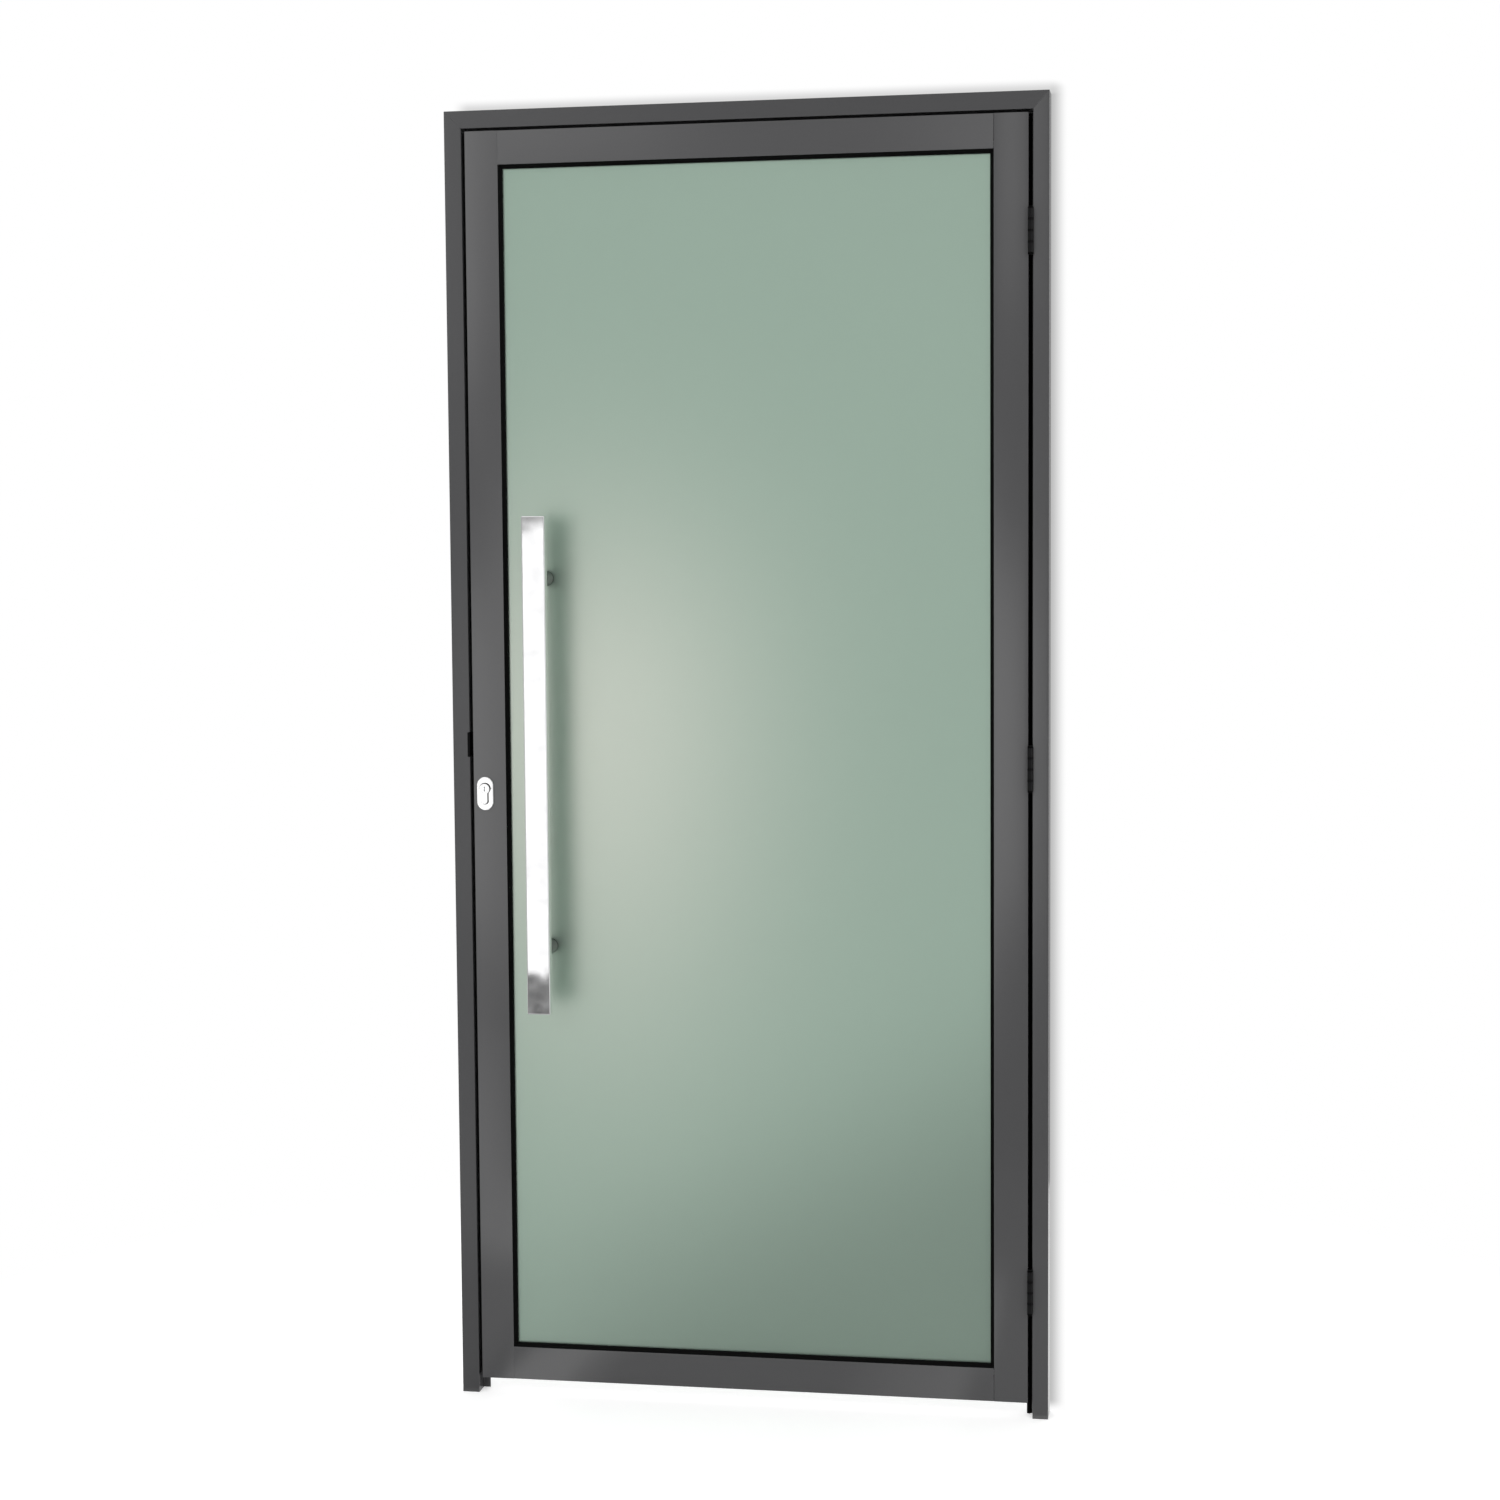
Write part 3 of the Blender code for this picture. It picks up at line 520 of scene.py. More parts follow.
def soften(shell: Shell, edges: list[bmesh.types.BMEdge], width: float, segments: int = 3) -> None:
    """Round the given edges of a shell."""
    bmesh.ops.bevel(shell, geom=edges, offset=width, offset_type="OFFSET", segments=segments,
                    profile=BEVEL_PROFILE, affect="EDGES", clamp_overlap=True)


def strips(shell: Shell, across: Axis) -> None:
    """Cut a bar into strips along its length, so that its faces can be arched.

    Args:
        shell: the bar.
        across: the axis that runs across it.
    """
    places = [vertex.co[across.value] for vertex in shell.verts]
    low, high = min(places), max(places)
    for index in range(1, BAR_STRIPS):
        point = across.unit() * (low + (high - low) * index / BAR_STRIPS)
        bmesh.ops.bisect_plane(shell, geom=shell.verts[:] + shell.edges[:] + shell.faces[:], plane_co=point,
                               plane_no=across.unit())


def crown(shell: Shell, across: Axis, face: float, reach: float, rise: float) -> None:
    """Give a flat face that looks along Y the shallow arch of a drawn section.

    Args:
        shell: the bar's mesh, cut into strips.
        across: the axis that runs across the bar.
        face: the Y of the face.
        reach: how deep the vertices lie that move with it; negative for a face that looks back.
        rise: how far the face's edges lie below its middle.
    """
    places = [vertex.co[across.value] for vertex in shell.verts]
    middle, half = (min(places) + max(places)) / 2, (max(places) - min(places)) / 2
    for vertex in shell.verts:
        if 0 <= (vertex.co.y - face) / reach < 1:
            vertex.co.y += math.copysign(rise, reach) * ((vertex.co[across.value] - middle) / half) ** 2


def drawn_bar(node: str, across: Axis, edge_round: float, reach: float, rise: float) -> Shell:
    """Copy a packed bar with rounded long edges, cut into strips, and with a softly arched front.

    Args:
        node: the bar's node.
        across: the axis that runs across it.
        edge_round: radius of the long edges.
        reach: how deep the vertices lie that move with the front.
        rise: how far the front's edges lie below its middle.

    Returns:
        The bar's shell.
    """
    shell = skin_of(node)
    soften(shell, corner_edges(shell, Axis.X if across is Axis.Z else Axis.Z), edge_round)
    strips(shell, across)
    crown(shell, across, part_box(node)[0].y, reach, rise)
    return shell


def plate(outer: list[Flat], holes: list[list[Flat]], thickness: float) -> Shell:
    """Fill an outline with holes in XY and give it a thickness along +Z.

    Args:
        outer: the outline's points.
        holes: the points of each hole.
        thickness: how far the plate reaches along +Z from zero.

    Returns:
        A closed shell.
    """
    shell = bmesh.new()
    edges = []
    for loop in [outer, *holes]:
        points = [shell.verts.new((x, y, 0.0)) for x, y in loop]
        edges += [shell.edges.new(pair) for pair in zip(points, points[1:] + points[:1])]
    bmesh.ops.triangle_fill(shell, use_beauty=True, edges=edges)
    grown = bmesh.ops.extrude_face_region(shell, geom=shell.faces[:])["geom"]
    lifted = [item for item in grown if isinstance(item, bmesh.types.BMVert)]
    bmesh.ops.translate(shell, verts=lifted, vec=(0, 0, thickness))
    bmesh.ops.recalc_face_normals(shell, faces=shell.faces)
    return shell


def soft_box(low: Vector, high: Vector, width: float, segments: int = 3) -> Shell:
    """Make a box with every edge rounded.

    Args:
        low: its lowest corner.
        high: its highest corner.
        width: radius of its edges.
        segments: how many facets an edge has.

    Returns:
        The box's shell.
    """
    shell = bmesh.new()
    size = Matrix.Diagonal((*(high - low), 1.0))
    bmesh.ops.create_cube(shell, size=1.0, matrix=Matrix.Translation((low + high) / 2) @ size)
    soften(shell, shell.edges[:], width, segments)
    return shell


def arc(centre: Flat, radius: float, start: float, end: float, steps: int = ROUND_STEPS) -> list[Flat]:
    """Return points on an arc, both ends included; angles in radians."""
    angles = (start + (end - start) / steps * index for index in range(steps + 1))
    return [(centre[0] + radius * math.cos(angle), centre[1] + radius * math.sin(angle)) for angle in angles]


def circle(radius: float) -> list[Flat]:
    """Return points on a circle round zero."""
    return arc((0, 0), radius, 0, math.tau)[:-1]


def into(shell: Shell, matrix: Matrix) -> Shell:
    """Place a shell by a matrix and return it."""
    bmesh.ops.transform(shell, matrix=matrix, verts=shell.verts)
    return shell


def outward(place: Vector, side: int) -> Matrix:
    """Matrix that lays a shell drawn along +Z on a face that looks along -Y (side -1) or +Y (side 1)."""
    return Matrix.Translation(place) @ Matrix.Rotation(math.radians(90) * -side, 4, "X")


def upright(points: list[Flat], side: int) -> list[Flat]:
    """Turn an outline so that outward leaves it upright on its side."""
    return [(x, -side * y) for x, y in points]


def added(name: str, data: Any) -> bpy.types.Object:
    """Add an object to the scene.

    Args:
        name: the object's name.
        data: its mesh, camera or light.

    Returns:
        The object.
    """
    made = bpy.data.objects.new(name, data)
    bpy.context.scene.collection.objects.link(made)
    return made


@dataclass(frozen=True)
class Placed:
    """A finished piece and what is said of it."""

    piece: bpy.types.Object
    body: Body
    finish: Finish
    replaced: tuple[str, ...] = ()

    def declare(self) -> None:
        """Make the piece ride on its body and hide the nodes that it stands for."""
        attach(self.piece, self.body.value)
        if self.replaced:
            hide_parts(*self.replaced)


def piece(name: str, mesh: bpy.types.Mesh, body: Body, finish: Finish,
          replaced: Iterable[str] = ()) -> Placed:
    """Add a mesh, placed in the row frame, as a piece of the door.

    Args:
        name: the piece's name.
        mesh: its mesh.
        body: the body that it rides on.
        finish: its finish.
        replaced: the nodes that it stands for.

    Returns:
        The piece, declared to the frame.
    """
    made = added(name, mesh)
    mesh.materials.clear()
    mesh.materials.append(finish.material())
    placed = Placed(made, body, finish, tuple(replaced))
    placed.declare()
    return placed


def shell_piece(name: str, shells: Iterable[Shell], body: Body, finish: Finish,
                replaced: Iterable[str] = ()) -> Placed:
    """Join shells into one smooth-shaded piece with hard corners.

    Args:
        name: the piece's name.
        shells: the shells, which are freed.
        body: the body that it rides on.
        finish: its finish.
        replaced: the nodes that it stands for.

    Returns:
        The piece.
    """
    mesh = bpy.data.meshes.new(name)
    joined = bmesh.new()
    for shell in shells:
        shell.to_mesh(mesh)
        shell.free()
        joined.from_mesh(mesh)
    joined.to_mesh(mesh)
    joined.free()
    mesh.shade_smooth()
    mesh.set_sharp_from_angle(angle=SHARP_ANGLE)
    placed = piece(name, mesh, body, finish, replaced)
    weighted = placed.piece.modifiers.new("weighted_normals", "WEIGHTED_NORMAL")
    weighted.keep_sharp = True
    return placed


def rounded_node(node: str, ending: str, body: Body, finish: Finish, width: float,
                 segments: int = 2) -> Placed:
    """Stand a copy with rounded corners in for a packed node.

    Args:
        node: the node's name.
        ending: what the piece's name adds to it.
        body: the body that it rides on.
        finish: its finish.
        width: radius of its corners.
        segments: how many facets a corner has.

    Returns:
        The piece.
    """
    shell = skin_of(node)
    soften(shell, corner_edges(shell), width, segments)
    return shell_piece(f"{node}_{ending}", [shell], body, finish, [node])


def dress_node(node: str, body: Body, finish: Finish) -> Placed:
    """Give a packed node that keeps its own shape its finish.

    Args:
        node: the node's name.
        body: the body that it belongs to.
        finish: its finish.

    Returns:
        The node as a piece.
    """
    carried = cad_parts[node]
    for slot in carried.material_slots:
        slot.material = finish.material()
    return Placed(carried, body, finish)


class GeometryTree(GroupSheet):
    """A geometry node tree with named inputs, run on a mesh to give a plain mesh."""

    def __init__(self, name: str, inputs: dict[str, str]) -> None:
        """Make the tree with a geometry input and output and a material beside the named inputs."""
        geometry = "NodeSocketGeometry"
        super().__init__(name, "GeometryNodeTree", {
            "Geometry": geometry, **inputs, "Material": "NodeSocketMaterial"}, ("Geometry", geometry))

    def finish_with(self, geometry: Socket) -> "GeometryTree":
        """Realize the instances, set the material and end the tree.

        Args:
            geometry: what the tree has made.

        Returns:
            The finished tree.
        """
        real = self.first("GeometryNodeRealizeInstances", {"Geometry": geometry})
        dressed = {"Geometry": real, "Material": self.given["Material"]}
        self.close(self.first("GeometryNodeSetMaterial", dressed))
        return self

    def cylinder(self, sides: int, radius: Socket, depth: Socket, height: Socket) -> Socket:
        """Add a cylinder along Z.

        Args:
            sides: how many sides it has.
            radius: its radius.
            depth: its length.
            height: the Z of its middle.

        Returns:
            The cylinder's geometry.
        """
        made = self.first("GeometryNodeMeshCylinder", {"Vertices": sides, "Radius": radius, "Depth": depth})
        place = self.first("ShaderNodeCombineXYZ", {"Z": height})
        return self.first("GeometryNodeTransform", {"Geometry": made, "Translation": place})

    def run(self, name: str, source: bpy.types.Mesh, values: dict[str, Any]) -> bpy.types.Mesh:
        """Run the tree.

        Args:
            name: name of the mesh that comes out.
            source: the mesh that goes in.
            values: the tree's inputs, by name.

        Returns:
            The result as a plain mesh.
        """
        carrier = added(name, source)
        modifier = carrier.modifiers.new(self.tree.name, "NODES")
        modifier.node_group = self.tree
        for item in self.tree.interface.items_tree:
            if item.in_out == "INPUT" and item.name in values:
                modifier[item.identifier] = values[item.name]
        graph = bpy.context.evaluated_depsgraph_get()
        mesh = bpy.data.meshes.new_from_object(carrier.evaluated_get(graph), depsgraph=graph)
        carrier.modifiers.remove(modifier)
        bpy.data.objects.remove(carrier, do_unlink=True)
        mesh.name = name
        return mesh


@lru_cache(maxsize=None)
def screw_tree() -> GeometryTree:
    """Return the tree that sets a countersunk hex-socket screw at each point, turned at random."""
    tree = GeometryTree("socket_screws", {
        "Head Radius": NUMBER, "Head Proud": NUMBER, "Sunk Depth": NUMBER, "Socket Radius": NUMBER,
        "Socket Depth": NUMBER, "Axis": "NodeSocketVector", "Seed": "NodeSocketInt"})
    given = tree.given
    radius, proud, sunk = given["Head Radius"], given["Head Proud"], given["Sunk Depth"]
    head_sides, socket_sides = 28, 6
    head = tree.first("GeometryNodeMeshCone", {
        "Vertices": head_sides, "Radius Top": tree.minus(radius, proud), "Radius Bottom": radius,
        "Depth": proud})
    shank = tree.cylinder(head_sides, radius, sunk, tree.times(sunk, -0.5))
    bore_depth = tree.times(given["Socket Depth"], 2.0)
    socket = tree.cylinder(socket_sides, given["Socket Radius"], bore_depth, proud)
    solid = tree.add("GeometryNodeMeshBoolean", operation="UNION", solver="EXACT")
    for part in (head, shank):
        tree.feed(solid.inputs["Mesh 2"], part)
    bored = tree.first("GeometryNodeMeshBoolean", {"Mesh 1": solid.outputs["Mesh"], "Mesh 2": socket},
                       operation="DIFFERENCE", solver="EXACT")
    angle = tree.add("FunctionNodeRandomValue", {2: 0.0, 3: math.tau, "Seed": given["Seed"]},
                     data_type="FLOAT").outputs[1]
    spin = tree.first("FunctionNodeAxisAngleToRotation", {"Axis": (0.0, 0.0, 1.0), "Angle": angle})
    aimed = tree.first("FunctionNodeAlignRotationToVector", {"Rotation": spin, "Vector": given["Axis"]},
                       axis="Z")
    return tree.finish_with(tree.first("GeometryNodeInstanceOnPoints", {
        "Points": given["Geometry"], "Instance": bored, "Rotation": aimed}))


@lru_cache(maxsize=None)
def rib_tree() -> GeometryTree:
    """Return the tree that runs a round rib along each line of a mesh, with rounded corners."""
    corner_points, rib_sides = 3, 8
    tree = GeometryTree("rubber_ribs", {"Rib Radius": NUMBER, "Corner Radius": NUMBER})
    line = tree.first("GeometryNodeMeshToCurve", {"Mesh": tree.given["Geometry"]})
    turned = tree.first("GeometryNodeFilletCurve", {
        "Curve": line, "Count": corner_points, "Radius": tree.given["Corner Radius"]}, mode="POLY")
    ring = tree.first("GeometryNodeCurvePrimitiveCircle", {
        "Resolution": rib_sides, "Radius": tree.given["Rib Radius"]})
    swept = tree.first("GeometryNodeCurveToMesh", {
        "Curve": turned, "Profile Curve": ring, "Fill Caps": True})
    return tree.finish_with(tree.first("GeometryNodeSetShadeSmooth", {"Geometry": swept}))


def line_mesh(points: list[Triple], edges: list[tuple[int, int]]) -> bpy.types.Mesh:
    """Make a mesh of loose points or of lines.

    Args:
        points: the points.
        edges: pairs of the numbers of the points that each line joins.

    Returns:
        The mesh.
    """
    mesh = bpy.data.meshes.new("lines")
    mesh.from_pydata(points, edges, [])
    return mesh


@dataclass(frozen=True)
class Screws:
    """A set of like screws on one body, all driven the same way."""

    name: str
    body: Body
    finish: Finish
    places: list[Triple]
    axis: Triple
    seed: int
    head_radius: float = 0.0034
    proud: float = 0.0002
    sunk_share: float = 0.3
    socket_share: float = 0.48
    socket_depth_share: float = 0.4

    def build(self) -> Placed:
        """Set the screws and return them as one piece."""
        mesh = screw_tree().run(self.name, line_mesh(self.places, []), {
            "Head Radius": self.head_radius, "Head Proud": self.proud,
            "Sunk Depth": self.head_radius * self.sunk_share,
            "Socket Radius": self.head_radius * self.socket_share,
            "Socket Depth": self.head_radius * self.socket_depth_share,
            "Axis": self.axis, "Seed": self.seed, "Material": self.finish.material()})
        return piece(self.name, mesh, self.body, self.finish)


@dataclass(frozen=True)
class OuterFrame:
    """Two jambs and a head of one hollow section, their stop seals and the keeper."""

    edge_round: float = 0.0007
    face_rise: float = 0.00022
    face_reach: float = 0.0017

    def build(self) -> list[Placed]:
        """Build the frame's pieces in order."""
        made = []
        # The hinge jamb takes the lit copy of the frame paint, which is painted light.
        for node, across, finish in (
                ("lock_jamb", Axis.X, FRAME_PAINT), ("hinge_jamb", Axis.X, HINGE_SIDE_LIT_PAINT),
                ("head", Axis.Z, FRAME_PAINT)):
            shell = drawn_bar(node, across, self.edge_round, self.face_reach, self.face_rise)
            crown(shell, across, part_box(node)[1].y, -self.face_reach, self.face_rise)
            made.append(shell_piece(f"{node}_section", [shell], Body.FRAME, finish, [node]))
        for node in ("lock_seal", "hinge_seal", "head_seal"):
            made.append(shell_piece(f"{node}_bulb", [skin_of(node)], Body.FRAME, RUBBER, [node]))
        made.append(rounded_node("keeper", "pocket", Body.FRAME, KEEPER_BLACK, self.edge_round, 3))
        return made


@dataclass(frozen=True)
class Leaf:
    """Stiles, coped rails, glazing beads, gaskets and the plugs in the stiles' open ends."""

    edge_round: float = 0.0007
    stile_rise: float = 0.0004
    rail_rise: float = 0.00015
    face_reach: float = 0.0015
    wall: float = 0.0018
    plug_depth: float = 0.006
    plug_inset: float = 0.0004
    rib_radius: float = 0.0005
    rib_corner: float = 0.002
    rib_shares: tuple[float, ...] = (0.3, 0.65)
    slope_start: float = 0.0133
    slope_width: float = 0.0057
    slope_depth: float = 0.007

    def build(self) -> list[Placed]:
        """Build the leaf's pieces in order."""
        made = []
        for names, across, rise in ((("lock_stile", "hinge_stile"), Axis.X, self.stile_rise),
                                    (("top_rail", "bottom_rail"), Axis.Z, self.rail_rise)):
            for node in names:
                shell = drawn_bar(node, across, self.edge_round, self.face_reach, rise)
                made.append(shell_piece(f"{node}_section", [shell], Body.LEAF, LEAF_PAINT, [node]))
        for side in ("lock", "hinge", "top", "bottom"):
            made.append(rounded_node(f"{side}_bead", "section", Body.LEAF, LEAF_PAINT, self.edge_round, 3))
        made += [self.plugs(), dress_node("front_gasket", Body.LEAF, RUBBER),
                 dress_node("back_gasket", Body.LEAF, RUBBER), self.ribs()]
        return made

    def plugs(self) -> Placed:
        """Return the black plugs that close the stiles' chambers at top and foot."""
        shells = []
        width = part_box("lock_bead")[0].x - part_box("lock_stile")[0].x - 2 * self.wall - self.plug_inset
        for node, outer in (("lock_stile", 1), ("hinge_stile", -1)):
            low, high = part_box(node)
            start = (low.x if outer > 0 else high.x) + outer * self.wall
            left, right = sorted((start + outer * self.plug_inset / 2, start + outer * width))
            front, back = low.y + self.wall + self.plug_inset, high.y - self.wall - self.plug_inset
            for top in (low.z + self.plug_depth, high.z - self.plug_inset):
                foot = top - self.plug_depth + self.plug_inset
                corners = Vector((left, front, foot)), Vector((right, back, top))
                shells.append(soft_box(*corners, self.edge_round))
        return shell_piece("stile_end_plugs", shells, Body.LEAF, RUBBER)

    def ribs(self) -> Placed:
        """Return the two fine ribs that run round the front gasket's slope."""
        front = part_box("front_gasket")[0].y
        low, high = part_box("glass")
        points, edges = [], []
        for share in self.rib_shares:
            inset = self.slope_start + share * self.slope_width
            depth = front + share * self.slope_depth
            left, right, foot, top = low.x + inset, high.x - inset, low.z + inset, high.z - inset
            start = len(points)
            points += [(left, depth, foot), (right, depth, foot), (right, depth, top), (left, depth, top)]
            edges += [(start + corner, start + (corner + 1) % 4) for corner in range(4)]
        ribs = rib_tree().run("gasket_ribs", line_mesh(points, edges), {
            "Rib Radius": self.rib_radius, "Corner Radius": self.rib_corner, "Material": RUBBER.material()})
        return piece("gasket_ribs", ribs, Body.LEAF, RUBBER)


@dataclass(frozen=True)
class Pane:
    """The etched glass pane, which keeps the node's shape."""

    def build(self) -> list[Placed]:
        """Dress the glass."""
        return [dress_node("glass", Body.LEAF, GLASS)]


@dataclass(frozen=True)
class HingeSet:
    """Three barrel hinges with their screws."""

    levels: tuple[str, ...] = ("bottom", "middle", "top")
    edge_round: float = 0.0006
    screw_rows: tuple[float, ...] = (-0.026, 0.0, 0.026)
    screw_depth: float = 0.0075
    leaf_seed: int = 4
    frame_seed: int = 2
    wing_thickness: float = 0.002
    knuckles: int = 4
    joint: float = 0.0008
    washer_outer: float = 0.0045
    washer_inner: float = 0.0027
    washer_height: float = 0.0006
    barrel_radius: float = 0.0042

    def build(self) -> list[Placed]:
        """Build every wing and pin, then the washers and the screws of each body."""
        made = []
        for level in self.levels:
            for part, body in (("leaf_wing", Body.LEAF), ("frame_wing", Body.FRAME), ("pin", Body.FRAME)):
                made.append(rounded_node(f"{level}_hinge_{part}", "dressed", body, self.paint(level),
                                         self.edge_round))
        return made + [self.washers(), self.screws("leaf", Body.LEAF, 1, self.leaf_seed),
                       self.screws("frame", Body.FRAME, -1, self.frame_seed)]

    def joints(self, level: str) -> tuple[float, float, float, float]:
        """Find the joints between a hinge's knuckles.

        Args:
            level: which hinge.

        Returns:
            X and Y of the pin's axis, Z of the lowest knuckle's foot, and the pitch of the joints.
        """
        low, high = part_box(f"{level}_hinge_pin")
        wing_low, wing_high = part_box(f"{level}_hinge_leaf_wing")
        pitch = (wing_high.z - wing_low.z + self.joint) / self.knuckles
        return (low.x + high.x) / 2, (low.y + high.y) / 2, wing_low.z, pitch

    def paint(self, level: str) -> Finish:
        """Make one hinge's black finish, with dull bands at the joints of its knuckles.

        Args:
            level: which hinge.

        Returns:
            The finish.
        """
        _, depth, foot, pitch = self.joints(level)
        return BandedFinish(**{
            **vars(BLACK_METAL), "name": f"{level}_hinge_black", "first_band": foot - self.joint / 2,
            "band_pitch": pitch, "band_back": depth + self.barrel_radius})

    def washers(self) -> Placed:
        """Return the thin black washers between the knuckles of every hinge."""
        rings = []
        for level in self.levels:
            across, depth, foot, pitch = self.joints(level)
            for index in range(1, self.knuckles):
                ring = plate(circle(self.washer_outer), [circle(self.washer_inner)], self.washer_height)
                height = foot + index * pitch - (self.joint + self.washer_height) / 2
                rings.append(into(ring, Matrix.Translation((across, depth, height))))
        return shell_piece("hinge_washers", rings, Body.FRAME, KEEPER_BLACK)

    def screws(self, owner: str, body: Body, side: int, seed: int) -> Placed:
        """Set the screws through one kind of wing.

        Args:
            owner: whose wings they are, leaf or frame.
            body: the body that they ride on.
            side: which way along X the wing's face looks.
            seed: seed of their random turns.

        Returns:
            The screws of all three hinges.
        """
        places = []
        for level in self.levels:
            low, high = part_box(f"{level}_hinge_{owner}_wing")
            face = low.x + self.wing_thickness if side > 0 else high.x - self.wing_thickness
            middle = (low.z + high.z) / 2
            places += [(face, high.y - self.screw_depth, middle + rise) for rise in self.screw_rows]
        return Screws(f"hinge_screws_{owner}", body, BLACK_METAL, places, (float(side), 0.0, 0.0),
                      seed).build()


@dataclass(frozen=True)
class LockSet:
    """Faceplate and case, the two bolts, the cylinder with its plugs, and the escutcheons."""

    edge_round: float = 0.0004
    dome: float = 0.0012
    dome_steps: int = 5
    plug_radius: float = 0.0066
    plug_proud: float = 0.0004
    key_width: float = 0.0016
    key_height: float = 0.0080
    head_radius: float = 0.0085
    lobe_radius: float = 0.005
    height: float = 0.033
    room: float = 0.0003
    end_inset: float = 0.0001
    plug_room: float = 0.00025
    screw_inset: float = 0.008
    screw_drop: float = 0.004
    screw_radius: float = 0.0036
    screw_seed: int = 7

    def build(self) -> list[Placed]:
        """Build the lock's pieces in order."""
        # The cylinder's body takes the dark finish of painted shade.
        made = [rounded_node(node, "dressed", Body.LEAF, finish, width) for node, finish, width in (
            ("lock_case", LOCK_STEEL, self.edge_round), ("latch_bolt", LOCK_STEEL, self.edge_round),
            ("dead_bolt", LOCK_STEEL, self.edge_round),
            ("lock_cylinder", CYLINDER_PAINTED_SHADE, self.edge_round / 2))]
        return made + [self.ends(), self.escutcheon("front", -1), self.escutcheon("back", 1),
                       self.face_screws()]

    def outline(self, room: float) -> list[Flat]:
        """Draw the cylinder's round head over a narrow lobe.

        Args:
            room: how much wider than the cylinder the outline is, all round.

        Returns:
            The outline's points, round the middle of the cylinder's height.
        """
        head, lobe = self.head_radius + room, self.lobe_radius + room
        neck = math.asin(lobe / head)
        return (arc((0, self.height / 2 - self.head_radius), head, neck - math.pi / 2, 1.5 * math.pi - neck)
                + arc((0, self.lobe_radius - self.height / 2), lobe, math.pi, math.tau, ROUND_STEPS // 2))

    def escutcheon(self, name: str, side: int) -> Placed:
        """Make the domed oval plate round the cylinder on one face.

        Args:
            name: the face, front or back.
            side: -1 for the front and 1 for the back.

        Returns:
            The plate.
        """
        low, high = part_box(f"{name}_escutcheon")
        radius = (high.x - low.x) / 2
        thickness = high.y - low.y
        straight = (high.z - low.z) / 2 - radius
        oval = arc((0, straight), radius, 0, math.pi) + arc((0, -straight), radius, math.pi, math.tau)
        shell = plate(oval, [upright(self.outline(self.room), side)], thickness)
        rim = [edge for edge in corner_edges(shell) if all(
            vertex.co.z > thickness - MERGE_DISTANCE and abs(vertex.co.x) + abs(vertex.co.y) > radius
            for vertex in edge.verts)]
        soften(shell, rim, self.dome, self.dome_steps)
        place = Vector(((low.x + high.x) / 2, high.y if side < 0 else low.y, (low.z + high.z) / 2))
        into(shell, outward(place, side))
        return shell_piece(f"{name}_escutcheon_domed", [shell], Body.LEAF, CHROME, [f"{name}_escutcheon"])

    def keyway(self) -> list[Flat]:
        """Return the outline of the key's slot, a tall bar with a step on each side."""
        wide, tall = self.key_width / 2, self.key_height / 2
        return [(-wide, -tall), (wide, -tall), (wide, -tall / 3), (wide / 3, 0.0), (wide, tall / 3),
                (wide, tall), (-wide, tall), (-wide, tall / 2), (-wide / 3, tall / 5), (-wide, -tall / 5)]

    def ends(self) -> Placed:
        """Return the cylinder's bright ends: the face round the plug, and the plug with its keyway."""
        low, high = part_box("lock_cylinder")
        rise = self.height / 2 - self.head_radius
        face = [(x, y - rise) for x, y in self.outline(-self.end_inset)]
        shells = []
        for side, end in ((-1, low.y), (1, high.y)):
            place = outward(Vector(((low.x + high.x) / 2, end, high.z - self.head_radius)), side)
            for outer, hole in ((upright(face, side), circle(self.plug_radius + self.plug_room)),
                                (circle(self.plug_radius), self.keyway())):
                shells.append(into(plate(outer, [hole], self.plug_proud), place))
        return shell_piece("cylinder_ends", shells, Body.LEAF, CHROME)

    def face_screws(self) -> Placed:
        """Return the faceplate's two fixing screws and the one that holds the cylinder."""
        low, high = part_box("lock_case")
        cylinder_low, cylinder_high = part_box("lock_cylinder")
        heights = (low.z + self.screw_inset, high.z - self.screw_inset,
                   (cylinder_low.z + cylinder_high.z) / 2 - self.screw_drop)
        places = [(low.x, (low.y + high.y) / 2, height) for height in heights]
        return Screws("faceplate_screws", Body.LEAF, LOCK_STEEL, places, (-1.0, 0.0, 0.0), self.screw_seed,
                      self.screw_radius).build()


@dataclass(frozen=True)
class PullPair:
    """A flat bar on two posts on each face of the glass."""

    bar_round: float = 0.0018
    bar_steps: int = 5
    post_round: float = 0.0006
    post_steps: int = 3

    def build(self) -> list[Placed]:
        """Build the two pulls."""
        made = []
        for side in ("front", "back"):
            bar = soft_box(*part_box(f"{side}_handle_bar"), self.bar_round, self.bar_steps)
            made.append(shell_piece(f"{side}_pull_bar", [bar], Body.LEAF, CHROME, [f"{side}_handle_bar"]))
            # Each post takes the dark steel of painted shade.
            for level in ("lower", "upper"):
                made.append(rounded_node(f"{side}_{level}_post", "dressed", Body.LEAF, STEEL_PAINTED_SHADE,
                                         self.post_round, self.post_steps))
                made.append(dress_node(f"{side}_{level}_washer", Body.LEAF, RUBBER))
        return made


@dataclass(frozen=True)
class Viewpoint:
    """The photograph's camera, solved from the door's own corners."""

    place: Triple = (0.262, -4.2445, 0.344)
    forward: Triple = (-0.172, 0.9823, -0.0745)
    up: Triple = (-0.0058, 0.0746, 0.9972)
    lens: float = 64.31
    sensor: float = 36.0

    def build(self) -> None:
        """Make the scene's camera."""
        data = bpy.data.cameras.new("photo_camera")
        data.lens = self.lens
        data.sensor_width = self.sensor
        camera = added("photo_camera", data)
        ahead = Vector(self.forward).normalized()
        side = ahead.cross(Vector(self.up)).normalized()
        turn = Matrix((side, side.cross(ahead), -ahead)).transposed().to_4x4()
        camera.matrix_world = Matrix.Translation(self.place) @ turn
        bpy.context.scene.camera = camera


